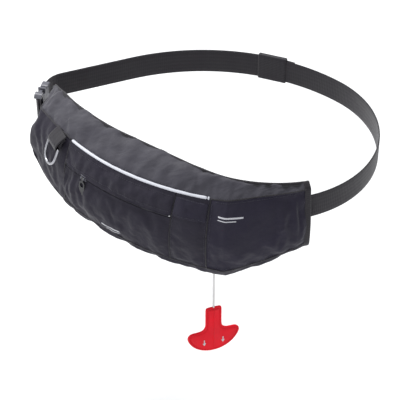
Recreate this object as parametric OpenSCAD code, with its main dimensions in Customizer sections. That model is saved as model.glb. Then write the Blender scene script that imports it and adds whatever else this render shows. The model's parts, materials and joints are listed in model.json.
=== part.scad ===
/* [Webbing] */
// Width of the belt webbing
belt_w = 38; // [32:1:40]
// Thickness of the belt webbing
belt_t = 2; // [1.6:0.1:2.4]
// Gap between the wearer's side of the pack and the belt inside it
belt_off = 5.8; // [5.6:0.1:6]
// Straight stretch of belt before the buckle
belt_tail_run = 111; // [100:1:120]

/* [Pack] */
// Height of the pack's top edge above the belt centre
top_z = 50; // [44:1:54]
// Depth of the pack's bottom edge below the belt centre
bottom_z = -84; // [-90:1:-80]
// Largest radius of the pack's front face about the pocket axis
belly_r = 386; // [382:1:392]
// Height at which the front face bulges most
belly_z = -48; // [-56:1:-40]
// Thickness of the padded back panel
pad_t = 5; // [4:0.5:5]
// Thickness of the nylon shell
shell_t = 1.6; // [1.2:0.1:2]

/* [Pocket] */
// Height of the reflective piping
piping_z = 26; // [22:1:28]
// Diameter of the reflective piping
piping_d = 4.5; // [3:0.5:5]
// Height of the pocket zip
zip_z = -8; // [-12:1:-4]
// Left end of the pocket, in degrees about the pocket axis
pocket_left = -17; // [-18:0.5:-15]
// Seam between the zip pocket and the flap pocket, in degrees
strip_left = 11.5; // [10:0.5:12]
// Seam between the flap pocket and the right panel, in degrees
strip_right = 19.3; // [18:0.1:20]

/* [Inflator] */
// Diameter of the gas cylinder
cylinder_d = 25; // [22:0.5:25]
// Length of the gas cylinder's straight body
cylinder_l = 78; // [70:1:80]
// Distance from the lever's pivot to the cord
lever_arm = 21; // [18:0.5:22]
// Angle of the armed lever above level
lever_angle = 30; // [20:1:32]

/* [Pull tab] */
// Width of the pull tab
tab_w = 80; // [60:1:84]
// Height of the pull tab
tab_h = 84; // [60:1:88]
// Thickness of the pull tab
tab_t = 4; // [3:0.5:5]
// Diameter of the pull cord
cord_d = 3.2; // [2.5:0.1:3.6]
// Height of the pull tab's top edge
tab_top_z = -168; // [-180:1:-150]

/* [Hidden] */
$fn = 48;

// Colours
charcoal = [0.24, 0.24, 0.28];
dark_web = [0.16, 0.15, 0.17];
silver_tape = [0.86, 0.87, 0.9];
grey_plastic = [0.35, 0.34, 0.38];
tab_red = [0.8, 0.06, 0.12];
steel = [0.7, 0.7, 0.72];
cell_yellow = [0.9, 0.8, 0.1];
white_cord = [0.9, 0.9, 0.88];

// The waist line, seen from above, as tangent arcs [radius, sweep]; radius 0 is a straight [0, length]
waist_start = [-211, -97];
waist_heading = -33.5;
waist = [[325, 31.5], [0, 110], [170, 55], [154, 118], [280, 66], [0, belt_tail_run], [24, 54], [0, 58]];
PACK_ARCS = 3;      // the first three stretches carry the pack
LEFT_TURN = 6;      // the belt's turn into the buckle
BUCKLE_RUN = 7;     // the straight that the buckle lies on
pocket_axis = [-5, 170];

function stretch_length(i) = waist[i][0] == 0 ? waist[i][1] : waist[i][0] * waist[i][1] * PI / 180;
function walk(p, h, r, d) = r == 0 ? p + d * [cos(h), sin(h)]
    : p + r * [sin(h + d) - sin(h), cos(h) - cos(h + d)];
function joint_at(i) = i == 0 ? [waist_start, waist_heading]
    : let (a = joint_at(i - 1), w = waist[i - 1]) [walk(a[0], a[1], w[0], w[1]), a[1] + (w[0] == 0 ? 0 : w[1])];
function place(s, i = 0) = (s <= stretch_length(i) || i == len(waist) - 1)
    ? let (a = joint_at(i), r = waist[i][0], d = r == 0 ? s : s / r * 180 / PI)
        [walk(a[0], a[1], r, d), a[1] + (r == 0 ? 0 : d)]
    : place(s - stretch_length(i), i + 1);
function outward(h) = [sin(h), -cos(h)];
// A point off millimetres outside the waist line, at distance s along it
function at(s, off, z) = let (q = place(s), p = q[0] + off * outward(q[1])) [p[0], p[1], z];

pack_len = stretch_length(0) + stretch_length(1) + stretch_length(2);

// The front face, about the pocket axis
function front_r(z) = belly_r - 0.0035 * pow(z - belly_z, 2);
// Distance from the waist line out to a circle about the pocket axis
function to_circle(s, r) = let (q = place(s), d = q[0] - pocket_axis, b = d * outward(q[1]))
    sqrt(b * b - d * d + r * r) - b;
// Angle about the pocket axis of the front face at distance s
function front_angle(s) = let (p = at(s, to_circle(s, belly_r), 0)) atan2(p[0] - pocket_axis[0], pocket_axis[1] - p[1]);
function find_s(angle, lo = 0, hi = 460) = hi - lo < 0.05 ? lo
    : let (m = (lo + hi) / 2) front_angle(m) > angle ? find_s(angle, lo, m) : find_s(angle, m, hi);
pocket_s0 = find_s(pocket_left);
pocket_s1 = find_s(strip_right);
tip_s = 2;
end_s = 452;

// How full the pack is along its length, and how its top and bottom edges close in at the ends
function fullness(s) = lookup(s, [[tip_s, 0.25], [14, 0.66], [30, 1.1], [44, 1.04], [62, 1], [pocket_s1, 1],
    [pocket_s1 + 20, 1.06], [385, 0.7], [420, 0.44], [end_s, 0.28]]);
function top_scale(s) = lookup(s, [[tip_s, 0.7], [40, 0.9], [110, 1], [310, 1], [345, 0.93], [400, 0.86], [end_s, 0.78]]);
function low_scale(s) = lookup(s, [[tip_s, 0.4], [30, 0.62], [62, 0.92], [100, 1], [200, 1.02], [pocket_s1, 1.12],
    [pocket_s1 + 20, 1.12], [400, 0.96], [end_s, 0.76]]);
// How far the front's top edge climbs towards the top of the pack at the right end
function edge_rise(s) = lookup(s, [[pocket_s1, 1], [400, 1.45], [end_s, 1.6]]);
function scaled_z(s, z) = z > 0 ? z * top_scale(s) : z * low_scale(s);
function face(s, z) = [fullness(s) * to_circle(s, front_r(z)), z > 0 ? z * edge_rise(s) * top_scale(s) : z * low_scale(s)];

FRONT_ZS = [-74, -62, -48, -34, -20, -4, 12, piping_z];
EDGE_GAP = 0.3;
CORNER_GAP = shell_t + 0.4;  // keeps the top and bottom sheets' thickness off the side sheets

// Sweep a closed section, given as [off, z] points, along the waist line; both sides of a sheet split the same way
module sweep_along(s0, s1, section, steps = 24) {
    rings = [for (k = [0:steps]) let (s = s0 + (s1 - s0) * k / steps) [for (p = section(s)) at(s, p[0], p[1])]];
    n = len(rings[0]);
    polyhedron(points = [for (ring = rings) each ring],
        faces = concat([[for (j = [n - 1:-1:0]) j]], [[for (j = [0:n - 1]) steps * n + j]],
            [for (k = [0:steps - 1], j = [0:n - 1])
                let (a = k * n + j, b = k * n + (j + 1) % n)
                    each 2 * j < n - 1 ? [[a, b + n, a + n], [a, b, b + n]] : [[a, b, a + n], [b, b + n, a + n]]]),
        convexity = 6);
}

// A sheet of even thickness inside a line of [off, z] points that runs up the front
function turn_in(line, t) = [for (i = [len(line) - 1:-1:0])
    let (a = line[max(i - 1, 0)], b = line[min(i + 1, len(line) - 1)], d = (b - a) / norm(b - a))
        line[i] + t * [-d[1], d[0]]];
module sheet_along(s0, s1, line, t, steps = 24) {
    sweep_along(s0, s1, function(s) let (l = line(s)) concat(l, turn_in(l, t)), steps);
}

// Exact strip of webbing along some stretches of the waist line
module run(i, from, upto, off, t, low, high) {
    r = waist[i][0];
    a = joint_at(i);
    if (r == 0)
        translate([a[0][0], a[0][1], 0]) rotate(a[1])
            translate([from, -off - t, low]) cube([upto - from, t, high - low]);
    else
        translate([a[0][0] - r * sin(a[1]), a[0][1] + r * cos(a[1]), 0])
            rotate_extrude(start = a[1] - 90 + from, angle = upto - from, $fn = 180)
                translate([r + off, low]) square([t, high - low]);
}

// A ring section turned about the pocket axis between two angles
module about_pocket(from, upto) {
    translate([pocket_axis[0], pocket_axis[1], 0])
        rotate_extrude(start = from - 90, angle = upto - from, $fn = 180) children();
}
// Upright sheet that follows the front face, from depth d0 to d1 behind it (negative is proud of it)
module face_sheet(low, high, d0, d1) {
    zs = [for (k = [0:8]) low + (high - low) * k / 8];
    polygon(concat([for (z = zs) [front_r(z) - d0, z]], [for (k = [8:-1:0]) [front_r(zs[k]) - d1, zs[k]]]));
}
// Moves to a place on the front face about the pocket axis, with -Y pointing out of the pack
module on_face(angle, r, z) {
    translate([pocket_axis[0], pocket_axis[1], 0]) rotate(angle) translate([0, -r, z]) children();
}

// ---- Pack shells ----
PAD_BEVEL = [3.4, 5];
module back_panel() {
    color(dark_web) sweep_along(tip_s, end_s, function(s)
        let (lo = scaled_z(s, bottom_z) + 2.2, hi = scaled_z(s, top_z) - 3.2, r = 1.8)
        [[0, lo + r], [r, lo], [pad_t - PAD_BEVEL[0], lo], [pad_t, lo + PAD_BEVEL[1]],
            [pad_t, hi - PAD_BEVEL[1]], [pad_t - PAD_BEVEL[0], hi], [r * 0.7, hi], [0, hi - r]], 36);
}
function top_line(s) = let (f = face(s, piping_z), e = scaled_z(s, top_z))
    [[f[0], f[1] + CORNER_GAP], [f[0] * 0.72, f[1] + CORNER_GAP + (e - f[1]) * 0.4], [f[0] * 0.36, e - 1], [0.3, e]];
module top_panel() {
    color(charcoal) sheet_along(tip_s, end_s, function(s) top_line(s), shell_t, 36);
}
function side_line(s) = [for (z = FRONT_ZS) face(s, z)];
module left_end_panel() {
    color(charcoal) sheet_along(tip_s, pocket_s0 - EDGE_GAP, function(s) side_line(s), shell_t, 12);
}
module right_panel() {
    color(charcoal) sheet_along(pocket_s1 + EDGE_GAP, end_s, function(s) side_line(s), shell_t, 18);
}
module right_end_binding() {
    color(dark_web) sweep_along(end_s + 0.3, end_s + 4.3, function(s)
        let (f = face(end_s, -40), g = face(end_s, piping_z), lo = scaled_z(end_s, bottom_z))
        [[8.4, lo + 3], [f[0], lo + 6], [f[0], -6], [g[0], g[1]], [8.4, g[1] + 5]], 1);
}
BOTTOM_INSET = 0.6;
module bottom_panel() {
    color(charcoal) difference() {
        sheet_along(tip_s + BOTTOM_INSET, end_s - BOTTOM_INSET, function(s) let (f = face(s, FRONT_ZS[0]), b = scaled_z(s, bottom_z))
            [[0.2, b + 0.3], [f[0] * 0.3, b - 1.4], [f[0] * 0.72, b - 1.4], [f[0] * 0.92, b + 2.6],
                [f[0], f[1] - CORNER_GAP]], shell_t, 35);
        translate([cord_x, cord_y, grommet_z - 20]) linear_extrude(40)
            polygon([for (a = [7:15:359]) (GROMMET_R + 0.3) * [cos(a), sin(a)]]);
    }
}
module front_panel() {
    color(charcoal) about_pocket(pocket_left, strip_right) face_sheet(-74, piping_z - 6, 3.2, 4.8);
}
// Hook and loop strips that hold the cover shut until the cell bursts it open
CLOSURE_R = 352;
CLOSURE_Z = 28;
module closure_hook_tape() {
    color(dark_web) about_pocket(pocket_left, strip_left) translate([CLOSURE_R, CLOSURE_Z]) square([8, 1.2]);
}
module closure_loop_tape() {
    color(dark_web) about_pocket(pocket_left, strip_left) translate([CLOSURE_R, CLOSURE_Z - 1.4]) square([8, 1.2]);
}

// ---- Pocket front ----
module reflective_piping() {
    color(silver_tape) about_pocket(pocket_left, strip_right)
        translate([front_r(piping_z) - 0.4, piping_z - piping_d / 2 - 0.4]) circle(d = piping_d, $fn = 24);
}
STRIP_LOW = zip_z + 5;
module pocket_upper_strip() {
    color(charcoal) about_pocket(pocket_left, strip_left - 0.1) face_sheet(STRIP_LOW + 0.2, piping_z - 5.2, 0, 1.4);
}
module pocket_panel() {
    color(charcoal) about_pocket(pocket_left, strip_left - 0.1) face_sheet(-74, zip_z - 5.2, 0, 1.4);
}
ZIP_LEFT = pocket_left + 5;
ZIP_RIGHT = strip_left - 0.6;
module zip_tapes() {
    color(dark_web) about_pocket(pocket_left + 0.3, strip_left - 0.3) {
        face_sheet(zip_z - 4.8, zip_z - 1.6, 0.9, 1.7);
        face_sheet(zip_z + 1.6, zip_z + 4.8, 0.9, 1.7);
    }
}
module zip_coil() {
    color([0.1, 0.1, 0.11]) about_pocket(ZIP_LEFT, ZIP_RIGHT)
        translate([front_r(zip_z) - 1.3, zip_z]) circle(d = 2.8, $fn = 20);
}
module zip_stops() {
    color(steel) for (a = [ZIP_LEFT - 0.35, ZIP_RIGHT + 0.35])
        on_face(a, front_r(zip_z), zip_z) translate([-1.4, -0.4, -1.5]) cube([2.8, 2.6, 3]);
}
// The slider rides 0.35 mm clear of the coil, and its bridge holds the pull
SLIDER_ANGLE = ZIP_LEFT + 1.5;
SLIDER_R = front_r(zip_z) + 0.5;
LUG_OUT = 3.2;
LUG_R = 1.7;
module zip_slider() {
    color(grey_plastic) on_face(SLIDER_ANGLE, SLIDER_R, zip_z) difference() {
        union() {
            translate([-5, -1.8, -4]) cube([10, 1.4, 8]);
            for (x = [-3.4, 2.2]) {
                translate([x, -LUG_OUT, 0]) rotate([0, 90, 0]) cylinder(r = LUG_R, h = 1.2);
                translate([x, -LUG_OUT, -LUG_R]) cube([1.2, LUG_OUT - 1, 2 * LUG_R]);
            }
        }
        translate([-4, -LUG_OUT, 0]) rotate([0, 90, 0]) cylinder(r = 0.86, h = 8);
    }
}
PULL_W = 11;
PULL_L = 26;
PULL_T = 1.6;
PULL_TILT = 9;     // it hangs out over the fuller cloth below
// A long loop on a cross-pin that turns in the slider's lugs
module zip_pull() {
    color([0.08, 0.08, 0.09]) on_face(SLIDER_ANGLE, SLIDER_R + LUG_OUT, zip_z) rotate([-PULL_TILT, 0, 0]) {
        translate([-3.3, 0, 0]) rotate([0, 90, 0]) cylinder(r = 0.8, h = 6.6);
        translate([-1.9, 0, 0]) rotate([0, 90, 0]) cylinder(r = 1.4, h = 3.8);
        translate([-1.5, -PULL_T / 2, -5]) cube([3, PULL_T, 4.4]);
        translate([0, PULL_T / 2, -4]) rotate([90, 0, 0]) linear_extrude(PULL_T) difference() {
            union() {
                translate([0, -PULL_W / 2]) circle(d = PULL_W);
                translate([-PULL_W / 2, -PULL_L + 4 + PULL_W / 2]) square([PULL_W, PULL_L - 4 - PULL_W]);
                translate([0, -PULL_L + 4 + PULL_W / 2]) circle(d = PULL_W);
            }
            translate([0, -PULL_W / 2 - 1]) circle(d = PULL_W - 4);
        }
    }
}
FLAP_TOP = piping_z - 6;
FLAP_LOW = -5;
module flap_pocket_panel() {
    color(charcoal) about_pocket(strip_left + 0.1, strip_right - 0.2) face_sheet(-74, piping_z - 5.2, 0, 1.4);
}
FLAP_MID = (strip_left + strip_right) / 2;
module pocket_flap() {
    color(charcoal) about_pocket(strip_left + 0.4, strip_right - 0.5) face_sheet(FLAP_LOW, FLAP_TOP, -1.6, -0.4);
}

// ---- D-ring at the left end ----
RING_ANGLE = -21;
RING_HEADING = -10;  // turned to follow the rounded left end
RING_Z = 10;
RING_WIRE = 3.6;
RING_IN = 32;
RING_STANDOFF = 8;
RING_TILT = 22;    // it hangs out over the fuller cloth below
RING_LEG = 12;
module on_ring() {
    on_face(RING_ANGLE, front_r(RING_Z) + RING_STANDOFF, RING_Z) rotate(RING_HEADING) children();
}
module ring_tab() {
    loop_r = RING_WIRE / 2 + 1.9;
    color(dark_web) on_ring() {
        difference() {
            union() {
                rotate([0, 90, 0]) cylinder(r = loop_r, h = RING_IN - 1, center = true);
                rotate([-32, 0, 0]) translate([-RING_IN / 2 + 1, -1, 0.4]) cube([RING_IN - 2, 3.2, 17.5]);
            }
            rotate([0, 90, 0]) cylinder(r = RING_WIRE / 2 + 0.3, h = RING_IN + 2, center = true);
        }
    }
}
module d_ring() {
    leg_x = (RING_IN + RING_WIRE) / 2;
    color(steel) on_ring() rotate([-RING_TILT, 0, 0]) {
        rotate([0, 90, 0]) cylinder(d = RING_WIRE, h = 2 * leg_x, center = true);
        for (x = [-leg_x, leg_x]) translate([x, 0, 0]) {
            sphere(d = RING_WIRE);
            translate([0, 0, -RING_LEG]) cylinder(d = RING_WIRE, h = RING_LEG);
        }
        translate([0, 0, -RING_LEG]) rotate([90, 0, 0])
            rotate_extrude(start = 180, angle = 180) translate([leg_x, 0]) circle(d = RING_WIRE);
    }
}

// ---- Belt ----
half_w = belt_w / 2;
JOIN_GAP = 0.03;   // keeps each stretch of webbing a closed solid of its own
module belt_webbing() {
    color(dark_web) {
        run(0, 8, waist[0][1] - JOIN_GAP, belt_off, belt_t, -half_w, half_w);
        for (i = [1:5]) run(i, 0, waist[i][1] - JOIN_GAP, belt_off, belt_t, -half_w, half_w);
        run(LEFT_TURN, 0, waist[LEFT_TURN][1] - 0.5, belt_off, belt_t, -half_w, half_w);
        on_buckle() web_wrap(PLUG_BAR, [0.9, 0]);
    }
}
TAIL_END = 15.5;     // the doubled webbing starts this many degrees into the back arc
module belt_tail() {
    color(dark_web) {
        run(4, TAIL_END, waist[4][1] - JOIN_GAP, belt_off + belt_t + 0.2, belt_t, -half_w, half_w);
        run(5, 0, waist[5][1] - JOIN_GAP, belt_off + belt_t + 0.2, belt_t, -half_w, half_w);
        run(LEFT_TURN, 0, waist[LEFT_TURN][1] - 2, belt_off + belt_t + 0.2, belt_t, -half_w, half_w);
    }
}
KEEPER_FROM = 18;
KEEPER_SWEEP = 9;
module belt_keeper() {
    a = joint_at(4);
    r = waist[4][0];
    inner = belt_off - 1.8;
    outer = belt_off + 2 * belt_t + 0.2 + 0.4;
    color(dark_web) translate([a[0][0] - r * sin(a[1]), a[0][1] + r * cos(a[1]), 0])
        rotate_extrude(start = a[1] - 90 + KEEPER_FROM, angle = KEEPER_SWEEP, $fn = 180) difference() {
            translate([r + inner, -half_w - 1.8]) square([outer - inner + 1.4, belt_w + 3.6]);
            translate([r + inner + 1.4, -half_w - 0.4]) square([outer - inner - 1.4, belt_w + 0.8]);
        }
}

// ---- Side-release buckle, along +X of its own frame from plug bar to socket bar ----
buckle_frame = joint_at(BUCKLE_RUN);
BUCKLE_OFF = belt_off + 1;
BUCKLE_W = 52;
BUCKLE_T = 11;
SOCKET_X = 20;
SOCKET_L = 26;
CAVITY_L = 17.6;
WEB_SLOT = belt_w + 1;
PLUG_BAR = [8, -1.1];
SOCKET_BAR = [SOCKET_X + 22.6, 0];
BAR_R = 1.6;
WRAP_R = 3.7;
module on_buckle() {
    p = buckle_frame[0] + BUCKLE_OFF * outward(buckle_frame[1]);
    translate([p[0], p[1], 0]) rotate(buckle_frame[1]) children();
}
module rounded_plate(x0, x1, w, t, r) {
    rotate([90, 0, 0]) translate([0, 0, -t / 2]) linear_extrude(t) hull()
        for (x = [x0 + r, x1 - r], z = [-w / 2 + r, w / 2 - r]) translate([x, z]) circle(r = r, $fn = 24);
}
module web_bar(at) {
    translate([at[0], at[1], -WEB_SLOT / 2 - 1]) cylinder(r = BAR_R, h = WEB_SLOT + 2);
}
// Webbing folded round a bar and sewn back on itself, running off to a far edge
module web_wrap(at, far) {
    translate([0, 0, -half_w]) linear_extrude(belt_w) difference() {
        union() {
            translate(at) circle(r = WRAP_R);
            polygon([at + [0, WRAP_R - 0.5], at + [0, 0.5 - WRAP_R], far - [0, 0.9], far + [0, 0.9]]);
        }
        translate(at) circle(r = BAR_R + 0.1);
    }
}
PRONG_Z = 15;
PRONG_X = SOCKET_X + 4;
PRONG_ROOT = 1.6;
PRONG_L = 11;
BUTTON_L = 6;
module buckle_socket() {
    color(grey_plastic) on_buckle() {
        difference() {
            rounded_plate(SOCKET_X, SOCKET_X + SOCKET_L, BUCKLE_W, BUCKLE_T, 6);
            translate([SOCKET_X - 1, -3.4, -21.4]) cube([CAVITY_L, 6.8, 42.8]);
            for (side = [-1, 1]) translate([SOCKET_X + 7, -10, side * 24 - 5]) cube([9.6, 20, 10]);
            translate([SOCKET_X + CAVITY_L + 1, -10, -WEB_SLOT / 2]) cube([20, 20, WEB_SLOT]);
        }
        web_bar(SOCKET_BAR);
    }
}
module buckle_plug() {
    color(grey_plastic) on_buckle() {
        difference() {
            rounded_plate(3, SOCKET_X - 0.6, 48, BUCKLE_T - 1, 5);
            translate([-8, -10, -WEB_SLOT / 2]) cube([20, 20, WEB_SLOT]);
        }
        web_bar(PLUG_BAR);
        translate([SOCKET_X - 1, -2.2, -3]) cube([14, 4.4, 6]);
        for (side = [-1, 1]) translate([SOCKET_X - 1, -2.4, side * PRONG_Z - 2.2]) cube([3, 4.8, 4.4]);
    }
}
// A springy prong on a round root, with the button that shows in the socket's side window
module prong(side) {
    color(grey_plastic) on_buckle() translate([PRONG_X, 0, side * PRONG_Z]) {
        rotate([90, 0, 0]) cylinder(r = PRONG_ROOT, h = 4.8, center = true);
        translate([0, -2.4, -PRONG_ROOT]) cube([PRONG_L, 4.8, 2 * PRONG_ROOT]);
        translate([PRONG_L - BUTTON_L, -2.4, side > 0 ? 0 : -9]) cube([BUTTON_L, 4.8, 9]);
    }
}
module prong_upper() {
    prong(1);
}
module prong_lower() {
    prong(-1);
}
// Webbing from the socket's bar to the seam on the pack's left end
module socket_webbing() {
    color(dark_web) on_buckle() web_wrap(SOCKET_BAR, [SOCKET_BAR[0] + 4.6, 3.4]);
}

// ---- Inflation cell and inflator, inside the pack ----
axis_y = -175;
axis_z = -22;
pivot_x = 102;
LOBE_R = 2;
cord_x = pivot_x + lever_arm;
cord_y = axis_y;
body_x0 = 80;
body_x1 = 111;
neck_x = body_x0 + 3;
CELL_BACK = 8.2;
CELL_T = 1.6;
// The folded cell's depth: thick at the left and right, and a thin sheet behind the gas cylinder
function cell_depth(s) = lookup(s, [[60, 20], [66, 30], [140, 30], [150, CELL_T], [384, CELL_T], [392, 10], [424, 3]]);
function cell_top(s) = lookup(s, [[140, -4], [150, -42], [384, -42], [392, -8]]);
module inflation_cell() {
    color(cell_yellow) {
        sweep_along(60, 424, function(s) let (lo = -60 * low_scale(s), hi = cell_top(s))
            [[CELL_BACK, lo], [CELL_BACK + cell_depth(s), lo + 2], [CELL_BACK + cell_depth(s), hi - 2], [CELL_BACK, hi]], 74);
        sweep_along(154, 318, function(s) let (out = face(s, -60)[0] - 8, lo = -70 * low_scale(s), in = CELL_BACK + CELL_T + 0.4)
            [[in, lo], [out, lo + 3], [out, -51], [in, -51]], 24);
    }
}
manifold_x = 88;
MANIFOLD_Z = -50.6;
module manifold() {
    color([0.12, 0.12, 0.13]) translate([manifold_x, axis_y, MANIFOLD_Z]) {
        cylinder(r = 10, h = 2.4);
        cylinder(r = 4, h = 16);
    }
}
module manifold_seal() {
    color([0.05, 0.05, 0.05]) translate([manifold_x, axis_y, MANIFOLD_Z + 2.5]) difference() {
        cylinder(r = 6.6, h = 1);
        translate([0, 0, -1]) cylinder(r = 4.1, h = 3);
    }
}
module retaining_nut() {
    color(steel) translate([manifold_x, axis_y, MANIFOLD_Z + 3.6]) difference() {
        cylinder(r = 8, h = 4, $fn = 6);
        translate([0, 0, -1]) cylinder(r = 4.1, h = 6);
    }
}
body_low = MANIFOLD_Z + 7.7;
module inflator_body() {
    color([0.9, 0.75, 0.1]) difference() {
        union() {
            translate([body_x0, axis_y - 12, body_low]) cube([body_x1 - body_x0, 24, -8 - body_low]);
            translate([body_x0 - 7, axis_y, axis_z]) rotate([0, 90, 0]) cylinder(r = 12, h = 8);
        }
        translate([body_x0 - 8, axis_y, axis_z]) rotate([0, 90, 0]) cylinder(r = 7, h = 12.5);
        translate([body_x0 - 8, axis_y, axis_z]) rotate([0, 90, 0]) cylinder(r = 3.55, h = 25);
        translate([body_x0 + 12.4, axis_y - 3.2, body_low - 1]) cube([40, 6.4, 60]);
        translate([pivot_x, axis_y + 13, axis_z]) rotate([90, 0, 0]) cylinder(r = 2.55, h = 26);
        translate([manifold_x, axis_y, body_low - 1]) cylinder(r = 4.05, h = 10);
    }
}
module cylinder_seal() {
    color([0.8, 0.1, 0.1]) translate([body_x0 + 2.2, axis_y, axis_z]) rotate([0, 90, 0]) difference() {
        cylinder(r = 6.6, h = 2);
        translate([0, 0, -1]) cylinder(r = 3.6, h = 4);
    }
}
module co2_cylinder() {
    color(steel) translate([body_x0 + 2, axis_y, axis_z]) rotate([0, -90, 0]) rotate_extrude() polygon([[0, 0],
        [4, 0], [6.9, 1], [6.9, 10], [cylinder_d / 2 - 2, 17], [cylinder_d / 2, 22], [cylinder_d / 2, 14 + cylinder_l],
        [cylinder_d / 2 - 2, 18 + cylinder_l], [cylinder_d / 2 - 6, 20 + cylinder_l], [0, 21 + cylinder_l]]);
}
PIN_X = body_x0 + 6;
module piercing_pin() {
    color(steel) translate([PIN_X, axis_y, axis_z]) rotate([0, 90, 0]) rotate_extrude()
        polygon([[0, 0], [1.6, 3], [1.6, 5], [3.5, 5], [3.5, 6.4], [1.6, 6.4], [1.6, 9], [0, 9.6]]);
}
module pin_spring() {
    color(steel) for (k = [0:2]) translate([PIN_X - 1.5 + 0.95 * k, axis_y, axis_z]) rotate([0, 90, 0])
        rotate_extrude() translate([2.6, 0.6]) circle(r = 0.45, $fn = 16);
}
module lever_frame() {
    translate([pivot_x, axis_y, axis_z]) rotate([0, -lever_angle, 0]) children();
}
// Cam, arm and the open fork that the cord hangs in
FORK_AT = lever_arm - 3;
LEVER_T = 5.4;
module inflator_lever() {
    color([0.75, 0.12, 0.12]) lever_frame() difference() {
        union() {
            rotate([90, 0, 0]) translate([0, 0, -LEVER_T / 2]) linear_extrude(LEVER_T) {
                circle(r = 5.4);
                translate([0, -4]) square([FORK_AT + 2, 8]);
                rotate(180 + lever_angle) hull() {
                    circle(r = 4);
                    translate([7, 0]) circle(r = LOBE_R);
                }
            }
            translate([FORK_AT, -5, -4]) cube([10, 10, 8]);
        }
        rotate([90, 0, 0]) cylinder(r = 2.58, h = 20, center = true);
        translate([FORK_AT, -2.1, -5]) cube([20, 4.2, 10]);
    }
}
module lever_pin() {
    color(steel) translate([pivot_x, axis_y + 12, axis_z]) rotate([90, 0, 0]) cylinder(r = 2.5, h = 24);
}
module indicator_clip() {
    color([0.1, 0.6, 0.2]) translate([body_x1 + 0.4, axis_y - 9, axis_z + 1]) cube([1.6, 3.4, 9]);
}
ORAL_Z = 10;
ORAL_Y = -171;
module oral_tube() {
    color([0.1, 0.1, 0.1]) translate([-34, ORAL_Y, ORAL_Z]) rotate([0, 90, 0]) difference() {
        cylinder(r = 6, h = 62);
        translate([0, 0, -1]) cylinder(r = 4.4, h = 64);
    }
}
module oral_valve() {
    color([0.8, 0.1, 0.1]) translate([-34 + 50, ORAL_Y, ORAL_Z]) rotate([0, 90, 0]) rotate_extrude()
        polygon([[0, 0], [3.6, 0], [3.6, 2], [1.4, 3], [1.4, 11], [0, 11]]);
}
DUST_CAP_X = -34 + 63.4;
module dust_cap() {
    color([0.8, 0.1, 0.1]) translate([DUST_CAP_X, ORAL_Y, ORAL_Z]) rotate([0, 90, 0]) difference() {
        translate([0, 0, -9]) cylinder(r = 7.6, h = 12);
        translate([0, 0, -10]) cylinder(r = 6.3, h = 11.4);
    }
}
module neck_strap() {
    color(dark_web) for (k = [0:3])
        about_pocket(-15, -6) translate([336 + 4 * k, -1]) square([3, 20]);
}

// ---- Pull cord and tab ----
CORD_S = 339;       // distance along the waist line at which the cord leaves the pack
grommet_z = scaled_z(CORD_S, bottom_z) - 3.4;
GROMMET_R = 7;
module cord_grommet() {
    color([0.08, 0.08, 0.08]) translate([cord_x, cord_y, grommet_z]) rotate_extrude() difference() {
        translate([2.4, 0]) square([GROMMET_R - 2.4, 4.4]);
        translate([GROMMET_R, 2.2]) circle(r = 1, $fn = 24);
    }
}
KNOT_D = 7;
cord_top = axis_z + lever_arm * tan(lever_angle) + (4 + KNOT_D / 2) / cos(lever_angle) + 0.2;
CORD_END = tab_top_z - 6;
CORD_RINGS = 24;
module pull_cord() {
    n = 8;
    color(white_cord) {
        polyhedron(points = [for (k = [0:CORD_RINGS], j = [0:n - 1]) [cord_x + cord_d / 2 * cos(360 * j / n),
                cord_y + cord_d / 2 * sin(360 * j / n), CORD_END + (cord_top - CORD_END) * k / CORD_RINGS]],
            faces = concat([[for (j = [0:n - 1]) j]], [[for (j = [n - 1:-1:0]) CORD_RINGS * n + j]],
                [for (k = [0:CORD_RINGS - 1], j = [0:n - 1]) let (a = k * n + j, b = k * n + (j + 1) % n) [a, a + n, b + n, b]]));
        translate([cord_x, cord_y, cord_top]) sphere(d = KNOT_D);
    }
}
TAB_TURN = 53;
STEM_W = 24;
// A stem over a half-moon, with round fillets where they meet
FILLET = 9;
module tab_outline() {
    r = tab_w / 2;
    moon = -tab_h + r;
    difference() {
        union() {
            translate([-STEM_W / 2, moon - 1]) square([STEM_W, -moon + 1]);
            translate([-STEM_W / 2 - FILLET, moon - 1]) square([STEM_W + 2 * FILLET, FILLET + 1]);
            intersection() {
                translate([0, moon]) circle(r = r, $fn = 120);
                translate([-r, -tab_h]) square([tab_w, r]);
            }
        }
        for (side = [-1, 1]) translate([side * (STEM_W / 2 + FILLET), moon + FILLET]) circle(r = FILLET);
    }
}
module pull_tab() {
    color(tab_red) translate([cord_x, cord_y, tab_top_z]) rotate(TAB_TURN) difference() {
        rotate([90, 0, 0]) translate([0, 0, -tab_t / 2]) linear_extrude(tab_t) tab_outline();
        translate([0, 0, -12]) cylinder(d = cord_d + 0.1, h = 20);
    }
}

back_panel();
top_panel();
left_end_panel();
right_panel();
right_end_binding();
bottom_panel();
front_panel();
closure_hook_tape();
closure_loop_tape();
reflective_piping();
pocket_upper_strip();
pocket_panel();
zip_tapes();
zip_coil();
zip_stops();
zip_slider();
zip_pull();
flap_pocket_panel();
pocket_flap();
ring_tab();
d_ring();
belt_webbing();
belt_tail();
belt_keeper();
socket_webbing();
buckle_socket();
buckle_plug();
prong_upper();
prong_lower();
inflation_cell();
manifold();
manifold_seal();
retaining_nut();
inflator_body();
cylinder_seal();
co2_cylinder();
inflator_lever();
lever_pin();
piercing_pin();
pin_spring();
indicator_clip();
oral_tube();
oral_valve();
dust_cap();
neck_strap();
cord_grommet();
pull_cord();
pull_tab();
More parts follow.
